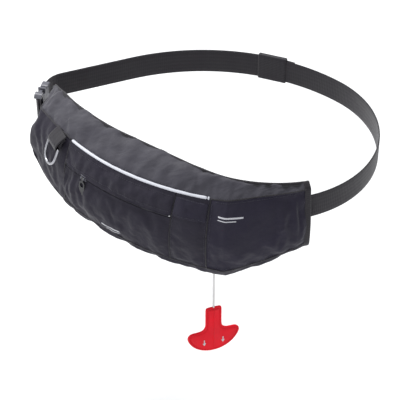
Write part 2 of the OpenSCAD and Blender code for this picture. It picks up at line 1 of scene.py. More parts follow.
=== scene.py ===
import bpy
import json
import math
import numpy as np
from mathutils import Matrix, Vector


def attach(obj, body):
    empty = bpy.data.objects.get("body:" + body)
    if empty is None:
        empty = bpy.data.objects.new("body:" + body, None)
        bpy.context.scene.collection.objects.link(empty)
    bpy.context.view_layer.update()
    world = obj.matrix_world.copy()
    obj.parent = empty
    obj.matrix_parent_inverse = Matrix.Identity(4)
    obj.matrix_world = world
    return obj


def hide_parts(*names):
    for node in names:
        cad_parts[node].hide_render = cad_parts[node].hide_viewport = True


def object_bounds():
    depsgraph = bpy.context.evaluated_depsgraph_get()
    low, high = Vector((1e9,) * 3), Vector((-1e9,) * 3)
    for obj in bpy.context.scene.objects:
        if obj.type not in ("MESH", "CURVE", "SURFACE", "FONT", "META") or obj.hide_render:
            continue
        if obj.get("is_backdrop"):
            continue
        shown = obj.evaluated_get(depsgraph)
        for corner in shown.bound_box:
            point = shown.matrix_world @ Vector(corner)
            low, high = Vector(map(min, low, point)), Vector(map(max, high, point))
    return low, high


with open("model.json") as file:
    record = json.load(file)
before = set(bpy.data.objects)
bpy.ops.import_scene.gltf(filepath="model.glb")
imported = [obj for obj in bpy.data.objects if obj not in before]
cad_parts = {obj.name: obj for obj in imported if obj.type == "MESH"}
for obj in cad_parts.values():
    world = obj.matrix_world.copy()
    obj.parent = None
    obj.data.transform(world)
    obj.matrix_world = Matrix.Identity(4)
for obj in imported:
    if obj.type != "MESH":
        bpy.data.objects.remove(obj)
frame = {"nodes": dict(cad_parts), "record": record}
cad_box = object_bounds()
nodes = frame["nodes"]
scene = bpy.context.scene
MM = 0.001

# ---------------------------------------------------------------- camera, light
TARGET = Vector((0.046, -0.098, 0.0))
cam_data = bpy.data.cameras.new("camera")
cam_data.lens = 129.8
cam_data.sensor_width = 36
cam_data.shift_y = -0.0875
cam = bpy.data.objects.new("camera", cam_data)
cam.location = (0.950, -1.389, 1.231)
cam.rotation_euler = (TARGET - Vector(cam.location)).to_track_quat("-Z", "Y").to_euler()
scene.collection.objects.link(cam)
scene.camera = cam


def area_light(name, loc, target, size, power, color=(1, 1, 1)):
    d = bpy.data.lights.new(name, "AREA")
    d.shape = "DISK"
    d.size = size
    d.energy = power
    d.color = color
    o = bpy.data.objects.new(name, d)
    o.location = loc
    o.rotation_euler = (Vector(target) - Vector(loc)).to_track_quat("-Z", "Y").to_euler()
    scene.collection.objects.link(o)


area_light("key_top", (-1.1, 0.1, 1.5), (0, -0.1, 0), 0.5, 30)
area_light("fill_front", (0.6, -2.2, 0.7), (0, -0.1, 0), 1.6, 11, (0.96, 0.97, 1))
area_light("fill_left", (-2.0, -0.9, 0.9), (-0.1, -0.1, 0), 1.2, 9, (0.95, 0.97, 1))
area_light("rim_back", (0.7, 1.8, 1.2), (0, 0, 0), 1.2, 11)
world = bpy.data.worlds.new("studio")
world.use_nodes = True
world.node_tree.nodes["Background"].inputs[0].default_value = (0.93, 0.94, 0.96, 1)
world.node_tree.nodes["Background"].inputs[1].default_value = 0.72
scene.world = world
scene.view_settings.view_transform = "Standard"


# ---------------------------------------------------------------- materials
def base_mat(name):
    m = bpy.data.materials.new(name)
    m.use_nodes = True
    return m, m.node_tree, m.node_tree.nodes["Principled BSDF"]


def node(nt, kind, **props):
    n = nt.nodes.new(kind)
    for k, v in props.items():
        setattr(n, k, v)
    return n


def noise(nt, vec, scale, detail=3, rough=0.5):
    n = node(nt, "ShaderNodeTexNoise")
    n.inputs["Scale"].default_value = scale
    n.inputs["Detail"].default_value = detail
    n.inputs["Roughness"].default_value = rough
    nt.links.new(vec, n.inputs["Vector"])
    return n.outputs["Fac"]


def ramp(nt, fac, stops):
    r = node(nt, "ShaderNodeValToRGB")
    el = r.color_ramp.elements
    while len(el) < len(stops):
        el.new(0.5)
    for e, (p, c) in zip(el, stops):
        e.position = p
        e.color = (c, c, c, 1) if isinstance(c, float) else (c[0], c[1], c[2], 1)
    nt.links.new(fac, r.inputs["Fac"])
    return r.outputs["Color"]


def math_node(nt, op, a, b):
    n = node(nt, "ShaderNodeMath", operation=op)
    for i, x in enumerate((a, b)):
        if isinstance(x, (int, float)):
            n.inputs[i].default_value = x
        else:
            nt.links.new(x, n.inputs[i])
    return n.outputs[0]


def wave(nt, vec, scale, direction, profile="SIN", distortion=0.0):
    w = node(nt, "ShaderNodeTexWave", wave_type="BANDS", bands_direction=direction, wave_profile=profile)
    w.inputs["Scale"].default_value = scale
    w.inputs["Distortion"].default_value = distortion
    w.inputs["Detail"].default_value = 1
    nt.links.new(vec, w.inputs["Vector"])
    return w.outputs["Fac"]


def bump(nt, bsdf, height, strength, distance):
    b = node(nt, "ShaderNodeBump")
    b.inputs["Strength"].default_value = strength
    b.inputs["Distance"].default_value = distance
    nt.links.new(height, b.inputs["Height"])
    nt.links.new(b.outputs["Normal"], bsdf.inputs["Normal"])


def shade(c, k):
    return tuple(min(1, x * k) for x in c)


def cloth_mat(name, color, pitch=1.0, rough=0.7, sheen=0.15, mottle=0.14, uv=True, weave=0.5, ribs=0.0, scuff=0.12,
              spec=0.24, crumple=0.0):
    """Woven cloth: two crossed thread waves at a pitch in mm, mottled dye, scuffed highs."""
    m, nt, b = base_mat(name)
    co = node(nt, "ShaderNodeTexCoord").outputs["UV" if uv else "Object"]
    k = 1000 / pitch / 20 * math.pi
    wx = wave(nt, co, k, "X", distortion=0.25)
    wy = wave(nt, co, k, "Y" if uv else "Z", distortion=0.25)
    check = math_node(nt, "ADD", math_node(nt, "MULTIPLY", wx, wy),
                      math_node(nt, "MULTIPLY",
                                 math_node(nt, "SUBTRACT", 1.0, wx), math_node(nt, "SUBTRACT", 1.0, wy)))
    big = noise(nt, co, 22, 4, 0.6)
    fine = noise(nt, co, 900, 2)
    tone = math_node(nt, "ADD", math_node(nt, "MULTIPLY", big, 0.75),
                     math_node(nt, "ADD",
                               math_node(nt, "MULTIPLY", fine, 0.12), math_node(nt, "MULTIPLY", check, 0.13)))
    col = ramp(nt, tone, [(0.3, shade(color, 1 - mottle)), (0.62, shade(color, 1 + mottle)),
                          (0.85, shade(color, 1 + mottle + scuff))])
    nt.links.new(col, b.inputs["Base Color"])
    nt.links.new(ramp(nt, big, [(0.35, rough - 0.07), (0.7, min(0.98, rough + 0.08))]), b.inputs["Roughness"])
    b.inputs["Sheen Weight"].default_value = sheen
    b.inputs["Sheen Roughness"].default_value = 0.45
    b.inputs["Specular IOR Level"].default_value = spec
    h = math_node(nt, "ADD", math_node(nt, "MULTIPLY", check, weave), math_node(nt, "MULTIPLY", fine, 0.25))
    if ribs:
        h = math_node(nt, "ADD", h, math_node(nt, "MULTIPLY", wave(nt, co, 1000 / ribs / 20 * math.pi, "Y"), 0.8))
    bump(nt, b, h, 0.35, 0.0004)
    if crumple:
        first = b.inputs["Normal"].links[0].from_node
        soft = node(nt, "ShaderNodeBump")
        soft.inputs["Strength"].default_value = 0.8
        soft.inputs["Distance"].default_value = crumple
        nt.links.new(noise(nt, co, 34, 3, 0.45), soft.inputs["Height"])
        nt.links.new(soft.outputs["Normal"], first.inputs["Normal"])
    return m


def webbing_mat(name, color, uv=True):
    """Webbing: cross ribs at 1.3 mm with long warp rows and a tight edge."""
    m, nt, b = base_mat(name)
    co = node(nt, "ShaderNodeTexCoord").outputs["UV" if uv else "Object"]
    ribs = wave(nt, co, 1000 / 1.5 / 20 * math.pi, "X", distortion=0.4)
    rows = wave(nt, co, 1000 / 3.2 / 20 * math.pi, "Y" if uv else "Z", distortion=0.1)
    big = noise(nt, co, 30, 4, 0.6)
    fuzz = noise(nt, co, 1500, 2)
    weave = math_node(nt, "ADD", math_node(nt, "MULTIPLY", ribs, 0.6), math_node(nt, "MULTIPLY", rows, 0.5))
    tone = math_node(nt, "ADD", math_node(nt, "MULTIPLY", big, 0.6),
                     math_node(nt, "ADD",
                               math_node(nt, "MULTIPLY", weave, 0.22), math_node(nt, "MULTIPLY", fuzz, 0.18)))
    col = ramp(nt, tone, [(0.25, shade(color, 0.72)), (0.6, shade(color, 1.12)), (0.85, shade(color, 1.5))])
    nt.links.new(col, b.inputs["Base Color"])
    nt.links.new(ramp(nt, big, [(0.3, 0.62), (0.75, 0.82)]), b.inputs["Roughness"])
    b.inputs["Sheen Weight"].default_value = 0.2
    b.inputs["Specular IOR Level"].default_value = 0.3
    bump(nt, b, math_node(nt, "ADD", weave, math_node(nt, "MULTIPLY", fuzz, 0.3)), 0.45, 0.0004)
    return m


def plastic_mat(name, color, rough=0.45, grain=0.25, spec=0.5):
    """Moulded plastic: fine spark-eroded grain, faint flow marks and scuffs."""
    m, nt, b = base_mat(name)
    co = node(nt, "ShaderNodeTexCoord").outputs["Object"]
    big = noise(nt, co, 60, 5, 0.65)
    grain_n = noise(nt, co, 2600, 2)
    col = ramp(nt, big, [(0.3, shade(color, 0.86)), (0.6, shade(color, 1.05)), (0.8, shade(color, 1.25))])
    nt.links.new(col, b.inputs["Base Color"])
    nt.links.new(ramp(nt, big, [(0.3, max(0.05, rough - 0.1)), (0.7, min(0.95, rough + 0.12))]), b.inputs["Roughness"])
    b.inputs["Specular IOR Level"].default_value = spec
    bump(nt, b, grain_n, grain, 0.0002)
    return m


def metal_mat(name, color, rough=0.25):
    m, nt, b = base_mat(name)
    co = node(nt, "ShaderNodeTexCoord").outputs["Object"]
    big = noise(nt, co, 90, 5, 0.6)
    scratch = wave(nt, co, 900, "Z", distortion=6)
    nt.links.new(ramp(nt, big, [(0.3, shade(color, 0.8)), (0.7, shade(color, 1.1))]), b.inputs["Base Color"])
    nt.links.new(ramp(nt, big, [(0.3, max(0.05, rough - 0.1)), (0.75, rough + 0.16)]), b.inputs["Roughness"])
    b.inputs["Metallic"].default_value = 1
    bump(nt, b, scratch, 0.08, 0.0001)
    return m


M = {
    "fabric_shell": cloth_mat("shell_nylon", (0.0150, 0.0128, 0.0225), 1.0, sheen=0.10, crumple=0.006),
    "fabric_top": cloth_mat("top_nylon", (0.046, 0.044, 0.055), 1.0, sheen=0.2, crumple=0.006),
    "fabric_right": cloth_mat("side_nylon", (0.0135, 0.0112, 0.0235), 1.0, sheen=0.10, crumple=0.005),
    "fabric_back": cloth_mat("air_mesh", (0.028, 0.028, 0.031), 2.6, rough=0.85, weave=1.0),
    "webbing": webbing_mat("belt_web", (0.0135, 0.0115, 0.0155)),
    "webbing_cad": webbing_mat("web_inside", (0.0135, 0.0115, 0.0155), uv=False),
    "hook_and_loop": cloth_mat("hook_loop", (0.02, 0.02, 0.02), 1.2, rough=0.95, uv=False, weave=1.0),
    "reflective_tape": cloth_mat("reflective", (0.62, 0.63, 0.68), 0.9, rough=0.42, sheen=0.1, mottle=0.05, weave=0.4),
    "zip_tape": cloth_mat("zip_tape_weave", (0.022, 0.022, 0.026), 0.8),
    "zip_coil": plastic_mat("coil_nylon", (0.02, 0.02, 0.022), 0.35),
    "nickel": metal_mat("nickel", (0.55, 0.55, 0.57), 0.3),
    "grey_plastic": plastic_mat("acetal_grey", (0.105, 0.105, 0.125), 0.42),
    "black_plastic": plastic_mat("acetal_black", (0.022, 0.022, 0.024), 0.38),
    "chromed_steel": metal_mat("ring_steel", (0.42, 0.42, 0.45), 0.26),
    "cell_fabric": cloth_mat("cell_tpu", (0.80, 0.58, 0.03), 1.2, rough=0.45, uv=False),
    "seal_rubber": plastic_mat("seal_rubber", (0.02, 0.02, 0.02), 0.7, 0.15, 0.3),
    "steel": metal_mat("turned_steel", (0.56, 0.56, 0.58), 0.3),
    "yellow_plastic": plastic_mat("body_yellow", (0.75, 0.5, 0.03), 0.4),
    "red_plastic": plastic_mat("cap_red", (0.55, 0.02, 0.02), 0.3),
    "green_plastic": plastic_mat("clip_green", (0.02, 0.28, 0.05), 0.3),
    "white_cord": cloth_mat("cord_braid", (0.66, 0.65, 0.64), 0.9, rough=0.75, uv=False, weave=1.0, mottle=0.1),
    "tab_red": cloth_mat("tab_red_weave", (0.68, 0.006, 0.018), 1.1, rough=0.55, uv=False, mottle=0.12,
                         sheen=0.0, spec=0.16),
    "thread": cloth_mat("thread_grey", (0.040, 0.038, 0.052), 0.5, rough=0.6, uv=False),
    "thread_dark": cloth_mat("thread_dark", (0.012, 0.012, 0.016), 0.5, rough=0.7, uv=False),
    "print_white": cloth_mat("print_ink", (0.50, 0.50, 0.53), 0.8, rough=0.5, uv=False, mottle=0.06),
}
for sp in frame["record"]["subparts"]:
    slot_name = sp["material_slot"]
    m = M["webbing_cad"] if slot_name == "webbing" else M[slot_name]
    o = nodes[sp["node"]]
    o.data.materials.clear()
    o.data.materials.append(m)

# ---------------------------------------------------------------- the pack's shape, from the CAD's own rules (mm)
TOP_Z, BOTTOM_Z, BELLY_R, BELLY_Z = 50, -84, 386, -48
PIPING_Z, ZIP_Z = 26, -8
POCKET_L, STRIP_L, STRIP_R = -17, 11.5, 19.3
CORD_X, CORD_Y, CORD_HOLE_R = 123, -175, 4.6   # where the pull cord leaves the underside
BELT_W, BELT_T, BELT_OFF = 38, 2, 5.8
PAD_T = 5
WAIST = [[325, 31.5], [0, 110], [170, 55], [154, 118], [280, 66], [0, 111], [24, 54], [0, 58]]
AXIS = np.array([-5.0, 170.0])
TIP, END = 2.0, 452.0


def stretch(i):
    r, w = WAIST[i]
    return w if r == 0 else r * w * math.pi / 180


def advance(p, h, r, d):
    a, b = math.radians(h), math.radians(h + d)
    if r == 0:
        return (p[0] + d * math.cos(a), p[1] + d * math.sin(a))
    return (p[0] + r * (math.sin(b) - math.sin(a)), p[1] + r * (math.cos(a) - math.cos(b)))


JOINTS = [((-211.0, -97.0), -33.5)]
for r_, w_ in WAIST:
    p_, h_ = JOINTS[-1]
    JOINTS.append((advance(p_, h_, r_, w_), h_ + (0 if r_ == 0 else w_)))
START_OF = np.concatenate([[0], np.cumsum([stretch(i) for i in range(8)])])


def place(s):
    i = 0
    while s > stretch(i) and i < 7:
        s -= stretch(i)
        i += 1
    r = WAIST[i][0]
    p, h = JOINTS[i]
    d = s if r == 0 else math.degrees(s / r)
    return np.array(advance(p, h, r, d)), h + (0 if r == 0 else d)


def outward(h):
    return np.array([math.sin(math.radians(h)), -math.cos(math.radians(h))])


def at(s, off, z):
    p, h = place(s)
    q = p + off * outward(h)
    return np.array([q[0], q[1], z])


def front_r(z):
    return BELLY_R - 0.0035 * (z - BELLY_Z) ** 2


def to_circle(s, r):
    p, h = place(s)
    o = outward(h)
    d = p - AXIS
    b = d @ o
    return math.sqrt(b * b - d @ d + r * r) - b


def front_angle(s):
    p = at(s, to_circle(s, BELLY_R), 0)
    return math.degrees(math.atan2(p[0] - AXIS[0], AXIS[1] - p[1]))


def find_s(angle):
    lo, hi = 0.0, 460.0
    while hi - lo > 0.02:
        m = (lo + hi) / 2
        lo, hi = (lo, m) if front_angle(m) > angle else (m, hi)
    return lo


S0, S1, S2 = find_s(POCKET_L), find_s(STRIP_L), find_s(STRIP_R)


def lookup(s, table):
    return float(np.interp(s, [a for a, _ in table], [b for _, b in table]))


def fullness(s):
    return lookup(s, [[TIP, 0.25], [14, 0.66], [30, 1.1], [44, 1.04], [62, 1], [S2, 1], [S2 + 20, 1.06], [385, 0.7],
                      [420, 0.44], [END, 0.28]])


def top_scale(s):
    return lookup(s, [[TIP, 0.7], [40, 0.9], [110, 1], [310, 1], [345, 0.93], [400, 0.86], [END, 0.78]])


def low_scale(s):
    return lookup(s, [[TIP, 0.4], [30, 0.62], [62, 0.92], [100, 1], [200, 1.02], [S2, 1.12],
                      [S2 + 20, 1.12], [400, 0.96],
                      [END, 0.76]])


def edge_rise(s):
    return lookup(s, [[S2, 1], [400, 1.45], [END, 1.6]])


def scaled_z(s, z):
    return z * top_scale(s) if z > 0 else z * low_scale(s)


def face(s, z):
    return [fullness(s) * to_circle(s, front_r(z)), z * edge_rise(s) * top_scale(s) if z > 0 else z * low_scale(s)]


def catmull(pts, n):
    """n points along a smooth line through pts, ends included."""
    p = np.array([pts[0]] + list(pts) + [pts[-1]], float)
    m = len(pts) - 1
    out = []
    for t in np.linspace(0, m, n):
        i = min(int(t), m - 1)
        u = t - i
        a, b, c, d = p[i], p[i + 1], p[i + 2], p[i + 3]
        out.append(0.5 * ((2 * b) + (c - a) * u + (2 * a - 5 * b + 4 * c - d) * u * u
                          + (3 * b - a - 3 * c + d) * u ** 3))
    return np.array(out)


R_TOP, R_FRONT, R_LOW = 22, 40, 18
FRONT_Z = np.linspace(PIPING_Z, -74, R_FRONT)


def section(s):
    """The cover's outline at s as [off, z]: over the top, down the front, under the bottom."""
    f, e = face(s, PIPING_Z), scaled_z(s, TOP_Z)
    top = catmull([[0.2, e - 1], [min(3, f[0] * 0.2), e], [f[0] * 0.36, e - 1.6],
                   [f[0] * 0.72, f[1] + (e - f[1]) * 0.42], [f[0], f[1]]], R_TOP)
    front = np.array([face(s, z) for z in FRONT_Z])
    g, b = face(s, -74), scaled_z(s, BOTTOM_Z)
    low = catmull([[g[0], g[1]], [g[0] * 0.92, b + 2.6], [g[0] * 0.72, b - 1.4],
                   [g[0] * 0.3, b - 1.2], [0.2, b + 1.6]], R_LOW)
    return np.vstack([top, front[1:], low[1:]])


ROW_P = R_TOP - 1                  # the piping's row
ROW_B = R_TOP + R_FRONT - 2        # the lower front edge
cols = np.concatenate([np.linspace(TIP, S0, 26)[:-1], np.linspace(S0, S1, 64)[:-1], np.linspace(S1, S2, 18)[:-1],
                       np.linspace(S2, END, 42)])
C0, C1, C2 = 25, 25 + 63, 25 + 63 + 17
grid = np.zeros((R_TOP + R_FRONT + R_LOW - 2, len(cols), 3))
for j, s in enumerate(cols):
    for i, (o_, z_) in enumerate(section(s)):
        grid[i, j] = at(s, o_, z_)
NR, NC = grid.shape[:2]


def row_of(z):
    return ROW_P + (PIPING_Z - z) / (PIPING_Z + 74) * (R_FRONT - 1)


def normals(g):
    du = np.gradient(g, axis=1)
    dv = np.gradient(g, axis=0)
    n = np.cross(du, -dv)
    n /= np.linalg.norm(n, axis=2, keepdims=True) + 1e-9
    return n


# soft folds that the cover shows, as lines in (row, column): [row, col, row, col, half width in mm, height in mm]
FOLDS = [
    [row_of(-4), C0 + 2.5, row_of(-60), C0 + 1, 3.2, 1.5], [row_of(-12), C0 + 7, row_of(-66), C0 + 9, 3.4, 1.5],
    [row_of(-10), C0 + 11, row_of(-58), C0 + 13, 3.0, 1.1], [row_of(10), 8, row_of(-40), 14, 5, 1.6],
    [row_of(24), 4, row_of(-20), 5, 5, 1.8], [2, 5, ROW_P - 1, 12, 4.5, 2.2], [1, 10, 12, 18, 4.0, 1.8],
    [3, 22, ROW_P - 4, 29, 6, 1.4], [2, 34, ROW_P - 6, 30, 6, 1.2], [1, 52, 12, 58, 7, 1.2],
    [6, 72, ROW_P - 2, 66, 7, 1.0],
    [1, 90, 14, 86, 7, 1.2], [row_of(20), NC - 13, row_of(-66), NC - 11, 4.2, 2.2],
    [row_of(24), NC - 7, row_of(-60), NC - 6, 3.6, 2.0], [row_of(-30), NC - 18, row_of(-72), NC - 12, 6, 1.4],
    [3, NC - 16, ROW_P, NC - 12, 5, 1.8], [row_of(0), C2 + 3, row_of(-66), C2 + 5, 6, 1.2],
    [row_of(-30), C1 - 14, row_of(-70), C1 - 22, 8, 0.9], [row_of(-52), C0 + 30, row_of(-70), C0 + 48, 6, 0.8],
    [2, 2, ROW_P - 6, 7, 3.2, 2.4], [1, 7, ROW_P - 3, 8, 3.0, 2.0], [4, 14, ROW_P - 2, 24, 4.0, 2.0],
    [2, 18, ROW_P - 8, 36, 5.0, 1.8], [5, 40, ROW_P - 3, 52, 6.0, 1.3], [1, 66, 10, 80, 5.0, 1.5],
    [row_of(20), 3, row_of(-40), 2, 3.5, 2.0], [row_of(12), 11, row_of(-50), 19, 3.6, 1.8],
    [row_of(2), 19, row_of(-58), 21, 3.0, 1.6], [row_of(-8), C0 + 4.5, row_of(-70), C0 + 5, 2.2, 1.7],
    [row_of(22), NC - 3.5, row_of(-66), NC - 3, 2.6, 1.8], [row_of(10), NC - 10, row_of(-50), NC - 16, 3.5, 1.6],
]
g0 = grid.copy()
n0 = normals(grid)
bumps = np.zeros((NR, NC))
for ra, ca, rb, cb, w, h in FOLDS:
    t = np.linspace(0, 1, 60)
    rr, cc = ra + (rb - ra) * t, ca + (cb - ca) * t
    ri, ci = np.clip(rr.astype(int), 0, NR - 1), np.clip(cc.astype(int), 0, NC - 1)
    line = g0[ri, ci]
    d = np.linalg.norm(g0[:, :, None, :] - line[None, None], axis=3)
    k = d.argmin(axis=2)
    fade = np.sin(np.pi * np.clip(t[k] * 0.9 + 0.05, 0, 1)) ** 0.6
    dm = d.min(axis=2)
    bumps += h * fade * (np.exp(-(dm / w) ** 2) - 0.45 * np.exp(-((dm - 2 * w) / w) ** 2))
pin = np.zeros((NR, NC))
pin[[0, NR - 1], :] = 1
pin[:, [0, NC - 1]] = 1
pin[ROW_P, :] = 1
pin[ROW_B, :] = 1
pin[ROW_P:ROW_B, [C0, C1, C2]] = 1
for z in (ZIP_Z + 4.5, ZIP_Z - 5.2, PIPING_Z - 5):
    pin[int(round(row_of(z))), C0:C1] = 1
grid += (bumps * (1 - pin))[:, :, None] * n0


def simulate(g, pinned, frames=26, pressure=0.5, grow=0.06, cap_out=5.5, cap_in=2.4):
    """Cloth: the cover's cut is a little larger than its outline, held at its seams and pushed
    out by what it holds."""
    nr, nc = g.shape[:2]
    me = bpy.data.meshes.new("sim")
    idx = np.arange(nr * nc).reshape(nr, nc)
    quads = np.stack([idx[:-1, :-1], idx[1:, :-1], idx[1:, 1:], idx[:-1, 1:]], axis=-1).reshape(-1, 4)
    me.from_pydata((g.reshape(-1, 3) * MM).tolist(), [], quads.tolist())
    ob = bpy.data.objects.new("sim", me)
    scene.collection.objects.link(ob)
    vg = ob.vertex_groups.new(name="pin")
    vg.add([int(i) for i in np.flatnonzero(pinned.reshape(-1) > 0.5)], 1.0, "REPLACE")
    cm = ob.modifiers.new("cloth", "CLOTH")
    st = cm.settings
    st.vertex_group_mass = "pin"
    st.quality = 6
    st.mass = 0.12
    st.tension_stiffness = 12
    st.compression_stiffness = 12
    st.shear_stiffness = 4
    st.bending_stiffness = 0.02
    st.air_damping = 2
    st.use_pressure = True
    st.uniform_pressure_force = pressure
    st.shrink_min = -grow
    st.shrink_max = -grow
    st.effector_weights.gravity = 0
    cm.collision_settings.use_collision = False
    cm.point_cache.frame_start = 1
    cm.point_cache.frame_end = frames
    for f in range(1, frames + 1):
        scene.frame_set(f)
    dg = bpy.context.evaluated_depsgraph_get()
    ev = ob.evaluated_get(dg)
    co = np.zeros(len(ev.data.vertices) * 3)
    ev.data.vertices.foreach_get("co", co)
    out = co.reshape(nr, nc, 3) / MM
    bpy.data.objects.remove(ob)
    scene.frame_set(1)
    d = out - g
    n = normals(g)
    dn = np.sum(d * n, axis=2, keepdims=True)
    dt = d - dn * n
    lt = np.linalg.norm(dt, axis=2, keepdims=True) + 1e-9
    dt *= np.minimum(1, 2.0 / lt)
    d = np.clip(dn, -cap_in, cap_out) * n + dt
    for _ in range(2):
        e = d.copy()
        e[1:-1, 1:-1] = (d[1:-1, 1:-1] * 4 + d[:-2, 1:-1] + d[2:, 1:-1] + d[1:-1, :-2] + d[1:-1, 2:]) / 8
        e[pinned > 0.5] = d[pinned > 0.5]
        d = e
    return g + d


grid = simulate(grid, pin)
N = normals(grid)


def sample(r, c, lift=0.0):
    r, c = float(np.clip(r, 0, NR - 1.001)), float(np.clip(c, 0, NC - 1.001))
    i, j = int(r), int(c)
    u, v = r - i, c - j
    w = [(1 - u) * (1 - v), u * (1 - v), (1 - u) * v, u * v]
    ii, jj = [i, i + 1, i, i + 1], [j, j, j + 1, j + 1]
    p = sum(k * grid[a, b] for k, a, b in zip(w, ii, jj))
    n = sum(k * N[a, b] for k, a, b in zip(w, ii, jj))
    n = n / np.linalg.norm(n)
    return p + lift * n, n


# ---------------------------------------------------------------- mesh helpers (input in mm)
SMOOTHED = ("SUBSURF", {"levels": 1, "render_levels": 1})   # one level of subdivision


def add_mesh(name, verts, faces, material, body, replaced=(), uvs=None, smooth=True, mods=()):
    me = bpy.data.meshes.new(name)
    me.from_pydata((np.asarray(verts, float) * MM).tolist(), [], faces)
    if uvs is not None:
        lay = me.uv_layers.new(name="UVMap")
        loops = np.zeros(len(me.loops), int)
        me.loops.foreach_get("vertex_index", loops)
        lay.data.foreach_set("uv", (np.asarray(uvs, float)[loops] * MM).reshape(-1))
    me.materials.append(material)
    me.polygons.foreach_set("use_smooth", [smooth] * len(me.polygons))
    me.update()
    ob = bpy.data.objects.new(name, me)
    scene.collection.objects.link(ob)
    for kind, props in mods:
        md = ob.modifiers.new(kind.lower(), kind)
        for k, v in props.items():
            setattr(md, k, v)
    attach(ob, body)
    if replaced:
        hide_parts(*replaced)
    return ob


def tube_mesh(paths, radius, sides=8, flat=1.0, normal_list=None, closed_ends=True):
    """Tubes along point lists; flat squashes them towards the surface they lie on."""
    verts, faces, uvs = [], [], []
    for k, pts in enumerate(paths):
        pts = np.asarray(pts, float)
        t = np.gradient(pts, axis=0)
        t /= np.linalg.norm(t, axis=1, keepdims=True) + 1e-12
        if normal_list is not None:
            nn = np.asarray(normal_list[k], float)
        else:
            ref = np.array([0, 0, 1.0]) if abs(t[0][2]) < 0.9 else np.array([1.0, 0, 0])
            nn = np.tile(ref, (len(pts), 1))
        nn = nn - np.sum(nn * t, axis=1, keepdims=True) * t
        nn /= np.linalg.norm(nn, axis=1, keepdims=True) + 1e-12
        bb = np.cross(t, nn)
        base = len(verts)
        L = np.concatenate([[0], np.cumsum(np.linalg.norm(np.diff(pts, axis=0), axis=1))])
        rad = np.full(len(pts), radius)
        if closed_ends:
            rad[0] *= 0.55
            rad[-1] *= 0.55
        for i in range(len(pts)):
            for q in range(sides):
                a = 2 * math.pi * q / sides
                verts.append(pts[i] + rad[i] * (math.cos(a) * flat * nn[i] + math.sin(a) * bb[i]))
                uvs.append((L[i], 2 * math.pi * radius * q / sides))
        for i in range(len(pts) - 1):
            for q in range(sides):
                a, b = base + i * sides + q, base + i * sides + (q + 1) % sides
                faces.append([a, b, b + sides, a + sides])
        faces.append([base + q for q in range(sides)][::-1])
        faces.append([base + (len(pts) - 1) * sides + q for q in range(sides)])
    return verts, faces, uvs


def tube(name, paths, radius, material, body, sides=8, flat=1.0, normal_list=None, replaced=()):
    v, f, u = tube_mesh(paths, radius, sides, flat, normal_list)
    return add_mesh(name, v, f, material, body, replaced, u)


def surface_path(points, lift, step=2.0):
    """Resamples a line of (row, col) on the cover every step mm; returns points and normals."""
    fine = []
    for (r0, c0), (r1, c1) in zip(points[:-1], points[1:]):
        for t in np.linspace(0, 1, 60)[:-1]:
            fine.append((r0 + (r1 - r0) * t, c0 + (c1 - c0) * t))
    fine.append(points[-1])
    pts = [sample(r, c, lift) for r, c in fine]
    P = np.array([p for p, _ in pts])
    Q = np.array([n for _, n in pts])
    L = np.concatenate([[0], np.cumsum(np.linalg.norm(np.diff(P, axis=0), axis=1))])
    k = max(2, int(L[-1] / step))
    x = np.linspace(0, L[-1], k + 1)
    return (np.stack([np.interp(x, L, P[:, i]) for i in range(3)], 1),
            np.stack([np.interp(x, L, Q[:, i]) for i in range(3)], 1))


def stitches(name, lines, material="thread", body="pack", pitch=3.2, length=2.3,
             width=0.55, lift=0.15):
    """Rows of lock stitches: each a short bowed thread that dips into the cloth at both ends."""
    paths, norms = [], []
    for pts, nn in lines:
        L = np.concatenate([[0], np.cumsum(np.linalg.norm(np.diff(pts, axis=0), axis=1))])
        for a in np.arange(pitch * 0.5, L[-1] - length, pitch):
            x = np.linspace(a, a + length, 4)
            seg = np.stack([np.interp(x, L, pts[:, i]) for i in range(3)], 1)
            n = np.stack([np.interp(x, L, nn[:, i]) for i in range(3)], 1)
            seg = seg + n * (lift + np.array([-0.25, 0.15, 0.15, -0.25]))[:, None]
            paths.append(seg)
            norms.append(n)
    v, f, u = tube_mesh(paths, width / 2, 5, 0.8, norms)
    return add_mesh(name, v, f, M[material], body, (), u)


def panel(name, r0, r1, c0, c1, material, replaced, thickness=1.3, lift=None, cap=None, hole=None):
    """A piece of the cover cut from the simulated cloth, with its own thickness and edges."""
    whole_rows = float(r0).is_integer() and float(r1).is_integer()
    rs = np.arange(r0, r1 + 1) if whole_rows else np.linspace(r0, r1, int(r1 - r0) + 2)
    cs = np.arange(c0, c1 + 1)
    P = np.zeros((len(rs), len(cs), 3))
    for a, r in enumerate(rs):
        for b, c in enumerate(cs):
            up = 0.0 if lift is None else lift(r, c)
            P[a, b] = sample(r, c, up)[0]
    nr, nc = P.shape[:2]
    v = P.reshape(-1, 3)
    lu = np.concatenate([np.zeros((nr, 1)), np.cumsum(np.linalg.norm(np.diff(P, axis=1), axis=2), axis=1)], 1)
    lv = np.concatenate([np.zeros((1, nc)), np.cumsum(np.linalg.norm(np.diff(P, axis=0), axis=2), axis=0)], 0)
    uv = np.stack([lu, lv], -1).reshape(-1, 2)
    idx = np.arange(nr * nc).reshape(nr, nc)
    f = np.stack([idx[:-1, :-1], idx[1:, :-1], idx[1:, 1:], idx[:-1, 1:]], -1).reshape(-1, 4)
    if hole is not None:
        mid = v[f].mean(axis=1)
        f = f[np.linalg.norm(mid[:, :2] - np.array(hole[:2]), axis=1) > hole[2]]
    f = f.tolist()
    v = v.tolist()
    uv = uv.tolist()
    if cap is not None:
        cap(v, f, uv)
    mods = [("SOLIDIFY", {"thickness": thickness * MM, "offset": -1.0}),
            SMOOTHED]
    return add_mesh(name, v, f, material, "pack", replaced, uv, mods=mods)


